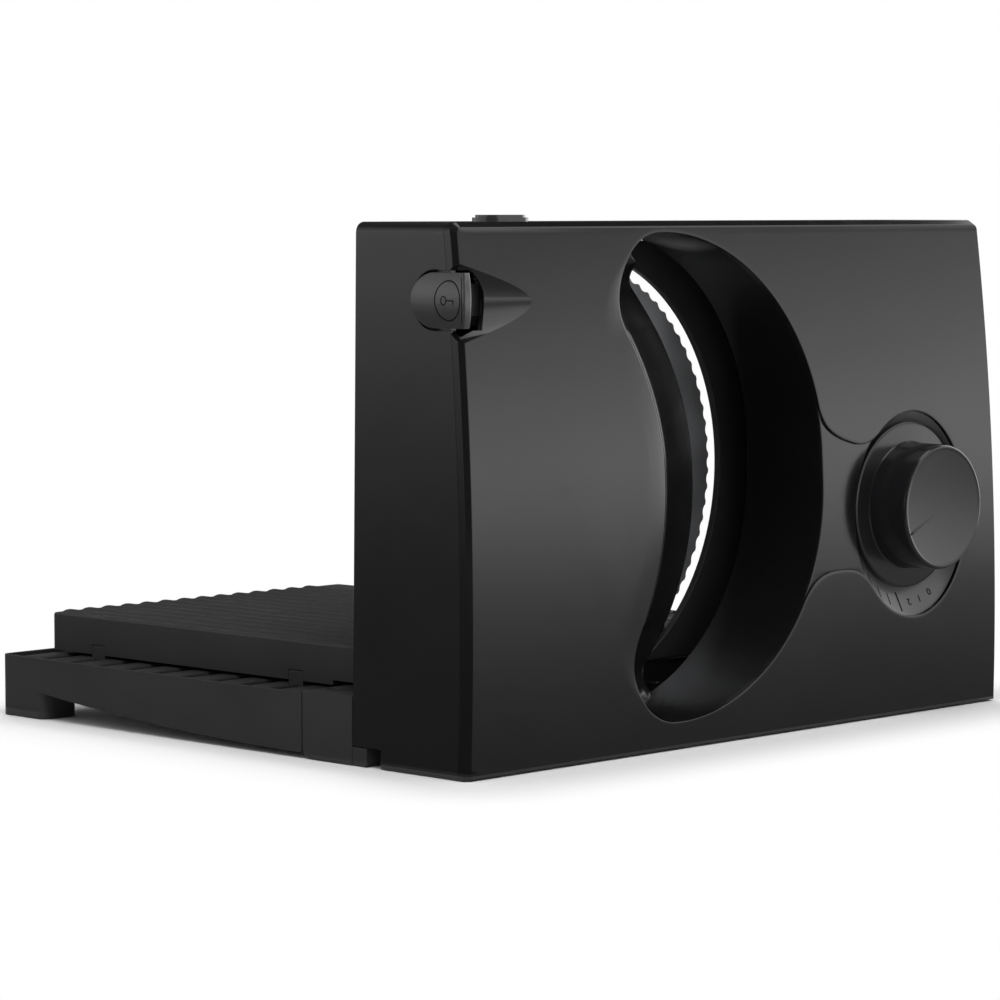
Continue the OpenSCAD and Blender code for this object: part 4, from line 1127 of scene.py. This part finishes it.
# %% Lock button
LOCK_X, LOCK_BOW = 0.15, 29.6
LOCK_FRONT, LOCK_BACK, LOCK_HALF, LOCK_THIN = 2.2, 30.0, 10.2, 5.2
THIN_TO = 14.0


def bulge(dz):
    """How far the button's bulged face lies in, at a height from its middle."""
    return LOCK_BOW - math.sqrt(LOCK_BOW ** 2 - dz * dz)


def curved_front(piece):
    """Round the button's front end in its height: its top and foot lie further back."""
    for v in piece.data.vertices:
        if v.co.y < THIN_TO:
            v.co.y += 2.0 * ((v.co.z - LOCK_Z) / LOCK_HALF) ** 2 * (THIN_TO - v.co.y) / 11.8


def front_corner(a, b):
    return max(a.y, b.y) < 3 and abs(a.z - b.z) > 1


def top_or_foot(a, b):
    level = abs(a.z - b.z) < 0.01 and abs(abs(a.z - LOCK_Z) - LOCK_HALF) < 0.01
    return level and max(a.x, b.x) < 7.5


lock = bar("lock_button", (LOCK_X, LOCK_FRONT, LOCK_Z - LOCK_HALF), (8.0, LOCK_BACK, LOCK_Z + LOCK_HALF))
round_edges(lock, LOCK_HALF - 0.02, 20, lambda a, b: min(a.y, b.y) > LOCK_BACK - 0.1 and abs(a.x - b.x) > 1)
combine(lock, bar("thinner", (LOCK_THIN, 0, 160), (9, THIN_TO, 190)))
round_edges(lock, 0.8, 5, lambda a, b: max(a.x, b.x) < 1 and front_corner(a, b))
round_edges(lock, 2.2, 8, lambda a, b: min(a.x, b.x) > 5 and front_corner(a, b))
strips(lock, LOCK_Z - LOCK_HALF + 0.6, LOCK_Z + LOCK_HALF - 0.3, 0.9)
for v in lock.data.vertices:
    if v.co.x < 7:
        v.co.x += min(1, (8 - v.co.x) / 7.85) * bulge(v.co.z - LOCK_Z)
curved_front(lock)
round_edges(lock, 0.5, 3, top_or_foot)
slit = bar("slit", (-1, 3.4, 162), (1.6, 3.9, 190))
strips(slit, 163, 189, 1.5)
curved_front(slit)
combine(lock, slit)
flange = bar("flange", (5.6, 14.2, 164.4), (7.9, 31.5, 188.2))
stem = bar("stem", (7.5, 19.4, 173.7), (14.6, 24.6, 178.9))
round_edges(stem, 2.4, 5, lambda a, b: abs(a.x - b.x) > 1)
settle(even(smooth(join(lock, flange, stem), 35)), "lock_button", "button_black", "lock", "lock_button")

# %% [markdown]
# A thin raised oval with a small generic key sign marks the button. Each line is a half-round section carried
# along its points on the bulged face; a curve with a bevel would float off that face.

# %% Lock sign
SIGN_Y, SIGN_HIGH = 11.0, 0.14


def raised_line(name, points, wide, closed):
    """A thin half-round line laid on the button's face."""
    sections = []
    for i, (y, z) in enumerate(points):
        y0, z0 = points[i - 1] if closed or i else points[0]
        y1, z1 = points[(i + 1) % len(points)] if closed or i + 1 < len(points) else points[-1]
        size = math.hypot(y1 - y0, z1 - z0)
        ny, nz = (z1 - z0) / size, -(y1 - y0) / size
        section = []
        for off, up in ((-1, -0.3), (-0.7, 0.6), (0, 1), (0.7, 0.6), (1, -0.3)):
            py, pz = y + off * wide / 2 * ny, z + off * wide / 2 * nz
            section.append((LOCK_X + bulge(pz - LOCK_Z) - up * SIGN_HIGH, py, pz))
        sections.append(section)
    piece = skin(name, sections, True, closed)
    close_up(piece)
    return smooth(piece, 60)


def oval(y, half_wide, half_high, step):
    turns = [math.radians(a) for a in range(0, 360, step)]
    return [(y + half_wide * math.cos(a), LOCK_Z + half_high * math.sin(a)) for a in turns]


signs = [raised_line("ring", oval(SIGN_Y, 6.5, 7.3, 6), 0.55, True),
         raised_line("key_bow", oval(SIGN_Y + 2.0, 1.3, 1.6, 20), 0.5, True),
         raised_line("key_shank", [(SIGN_Y + along, LOCK_Z) for along in (0.7, -1.2, -3.2)], 0.5, False),
         raised_line("key_bit", [(SIGN_Y - 2.9, LOCK_Z - down) for down in (0.0, 1.5)], 0.5, False)]
settle(join(*signs), "lock_sign", "button_black", "lock", look="mark_dark")

# %% [markdown]
# The power button on top is an oval with a low second step. The oval is a box whose upright edges are
# bevelled until they meet; its top is inset and raised, and the rims are softened.

# %% Power button
def upright(a, b):
    return abs(a.z - b.z) > 1


power = bar("power_button", (42.0, 28.5, 199.0), (66.0, 43.5, 206.5))
round_edges(power, 7.45, 14, upright)
pick_listed(power, "FACE", [f for f in power.data.polygons if f.normal.z > 0.9])
bpy.ops.mesh.inset(thickness=1.2, depth=0)
bpy.ops.mesh.extrude_region_move(TRANSFORM_OT_translate={"value": (0, 0, 1.0)})
leave()
round_edges(power, 0.4, 3, lambda a, b: abs(a.z - b.z) < 0.01 and a.z > 206.2)
foot = bar("foot", (40.0, 26.5, 199.0), (68.0, 45.5, 202.1))
round_edges(foot, 9.4, 14, upright)
stem = bar("stem", (51.2, 33.2, 194.2), (56.8, 38.8, 199.2))
round_edges(stem, 2.6, 6, upright)
settle(smooth(join(power, foot, stem), 35), "power_button", "button_black", "power", "power_button")

# %% [markdown]
# Under each button stands a coil spring. The coil keeps the shape of its solid, but it can't travel whole:
# one end stays on the switch while the other follows the button. Here it rides on the button whole, with a
# mesh of its own.

# %% Springs
for button, axis, end, travel in (("power", (0, 0, 1), 1, 2.5), ("lock", (1, 0, 0), 0, 3.0)):
    node = button + "_spring"
    corners = [Vector(corner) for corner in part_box(node)]
    coil = settle(smooth(copied(node), 50), node, "spring_steel", button, node, in_metres=True)
    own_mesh(coil)

# %% [markdown]
# Behind the foot of the housing lies the base block: a box with an open underside, a tongue that reaches under
# the shell, and one low half-round ridge along its top. The ridge is the top of a long cylinder.

# %% Base block
BLOCK_TOP, BLOCK_END = 26.3, 89.5


def rib(name, radius, middle, axis, start, end, keep_above):
    """A rib cut from the top of a long cylinder, with rounded ends."""
    turn = (0, math.radians(90), 0) if axis == "X" else (math.radians(90), 0, 0)
    bpy.ops.object.select_all(action="DESELECT")
    bpy.ops.mesh.primitive_cylinder_add(vertices=96, radius=radius, depth=end - start, location=middle,
                                        rotation=turn)
    piece = bpy.context.object
    piece.name = name
    bpy.ops.object.transform_apply(location=True, rotation=True)
    cut(piece, (0, 0, keep_above), (0, 0, 1), use_fill=True, clear_inner=True)
    way = "XY".index(axis)
    round_edges(piece, 0.5, 3, lambda a, b: abs(a[way] - b[way]) < 0.01 and a.z > keep_above + 0.05)
    return piece


def at_back(a, b):
    return min(a.y, b.y) > BLOCK_END - 0.5


def at_side(a, b):
    return abs(a.x - b.x) < 0.1 and (a.x < 0.1 or a.x > WIDE - 0.1) and min(a.y, b.y) > 61.8


block = bar("base_block", (0, 61.7, FOOT), (WIDE, BLOCK_END, BLOCK_TOP))
round_edges(block, 4.0, 6, lambda a, b: at_back(a, b) and max(a.z, b.z) < 2)
round_edges(block, 1.0, 4, lambda a, b: at_back(a, b) and min(a.z, b.z) > BLOCK_TOP - 1)
round_edges(block, 0.7, 3, at_side)
combine(block, bar("hollow", (2.5, 64.2, -1), (WIDE - 2.5, 87, BLOCK_TOP - 2.5)))
combine(block, bar("tongue", (0.2, 54, FOOT), (WIDE - 0.2, 62.5, 7.3)), "UNION")
ridge = rib("ridge", 8, (161, 81.5, BLOCK_TOP - 7), "X", 8, WIDE - 8, BLOCK_TOP - 0.4)
settle(even(smooth(join(block, ridge), 35)), "base_block", "tray_black", "housing", "base_block")

# %% [markdown]
# The tray behind it is an open box on two legs with an arched belly and a sunk top inside a thin rim. The
# arch comes from cutting the box into strips and lifting each strip's lower edge. Flat ribs with rounded tops
# run across, modelled once and copied, and two rails carry the carriage.

# %% Tray
TRAY_TOP, TRAY_END, TRAY_RIM, RIB_TOP, RAIL_TOP = 25.2, 273.0, 2.2, 25.4, 30.5
ARCH_R = 1400
RAILS = (112.0, TRAY_END - 42)


def row_of(piece, count, way, step):
    """The piece and its copies, each with its own mesh, set off along X (way 0) or Y (way 1)."""
    made = [piece]
    for i in range(1, count):
        copy = piece.copy()
        copy.data = piece.data.copy()
        bpy.context.scene.collection.objects.link(copy)
        for v in copy.data.vertices:
            v.co[way] += step * i
        made.append(copy)
    return made


def tray_rim(a, b):
    """The outer edges of the tray's top, and not those of its sunk part."""
    on_top = min(a.z, b.z) > TRAY_TOP - 0.01 and min(a.y, b.y) > 90
    near = max(a.x, b.x) < 5.1 or min(a.x, b.x) > WIDE - 5.1 or min(a.y, b.y) > TRAY_END - 5.1
    return on_top and near and (a.x < 1 or a.x > WIDE - 1 or max(a.y, b.y) > TRAY_END - 1)


tray = bar("tray", (0, 89.6, 2.3), (WIDE, TRAY_END, TRAY_TOP))
round_edges(tray, 5, 8, lambda a, b: min(a.y, b.y) > TRAY_END - 1 and upright(a, b))
for i in range(1, 19):
    cut(tray, (0, BLOCK_END + 9.6 * i, 0), (0, 1, 0))
for v in tray.data.vertices:
    if v.co.z < 3:
        v.co.z += ARCH_R - math.sqrt(ARCH_R ** 2 - (v.co.y - BLOCK_END) ** 2)
combine(tray, bar("hollow", (2.5, 92, -1), (WIDE - 2.5, TRAY_END - 2.5, 20.8)))
combine(tray, bar("sunk_top", (TRAY_RIM, 91.8, 22.0), (WIDE - TRAY_RIM, TRAY_END - TRAY_RIM, 30)))
for x in (0.0, WIDE - 19):
    leg = bar("leg", (x, TRAY_END - 28.5, 0.2), (x + 19, TRAY_END, 21.5))
    round_edges(leg, 5, 8, upright)
    combine(tray, leg, "UNION")
round_edges(tray, 0.6, 3, tray_rim)
pieces = [even(smooth(tray, 35))]
flat_rib = bar("rib", (0.9, 93.6, 21.6), (WIDE - 0.9, 104.4, RIB_TOP))
round_edges(flat_rib, 1.6, 4, lambda a, b: min(a.z, b.z) > RIB_TOP - 0.1)
pieces += row_of(even(smooth(flat_rib)), 10, 1, 17.4)
for y in RAILS:
    rail = bar("rail", (18.1, y - 4, 21.6), (312, y + 4, RAIL_TOP))
    round_edges(rail, 0.8, 3, lambda a, b: min(a.z, b.z) > RAIL_TOP - 0.5)
    pieces.append(even(smooth(rail)))
settle(join(*pieces), "tray", "tray_black", "housing", "tray")

# %% [markdown]
# The carriage is a low sliding table with its ribs running the other way, towards the blade. A skirt hangs
# from it close over the tray, with ways cut for the two rails and for the base block. The upright guard for
# the thumb at its right end and the guide plate keep the shape of their solids, with softened edges.

# %% Carriage
CAR_SKIRT, CAR_TOP = 26.6, 42.1
carriage = bar("carriage", (18, 64.5, CAR_SKIRT), (183, 261, CAR_TOP))
round_edges(carriage, 2.5, 5, upright)
round_edges(carriage, 0.9, 3, lambda a, b: min(a.z, b.z) > CAR_TOP - 0.1)
combine(carriage, bar("hollow", (21, 67.5, 25), (180, 258, CAR_TOP - 3)))
combine(carriage, bar("over_block", (16, 60, 25), (185, 91, 28.4)))
for y in RAILS:
    combine(carriage, bar("rail_way", (16, y - 4.15, 25), (185, y + 4.15, RAIL_TOP + 0.15)))
round_rib = smooth(rib("car_rib", 9.5, (25, 162.75, 33.6), "Y", 67.5, 258, 41.9))
pieces = [even(smooth(carriage, 35))] + row_of(round_rib, 14, 0, 10.5)
settle(join(*pieces), "carriage", "tray_black", "carriage", "carriage")
settle(softened("thumb_guard", 0.8, 3), "thumb_guard", "tray_black", "carriage", "thumb_guard", in_metres=True)
settle(softened("guide_plate", 0.4), "guide_plate", "guide_black", "guide", "guide_plate", in_metres=True)

# %% [markdown]
# The other CAD pieces have the right shape already: the blade with its eighty hollows, screws, feet, and the
# drive inside. They keep their meshes and take the finish of their slot.

# %% Other pieces
slot_of = {part["node"]: part["material_slot"] for part in frame["record"]["subparts"]}
for name, piece in nodes.items():
    slot = finishes[slot_of[name]]
    if piece.material_slots:
        for place in piece.material_slots:
            place.material = slot
    else:
        piece.data.materials.append(slot)
print("finishes set on", len(nodes), "CAD nodes")
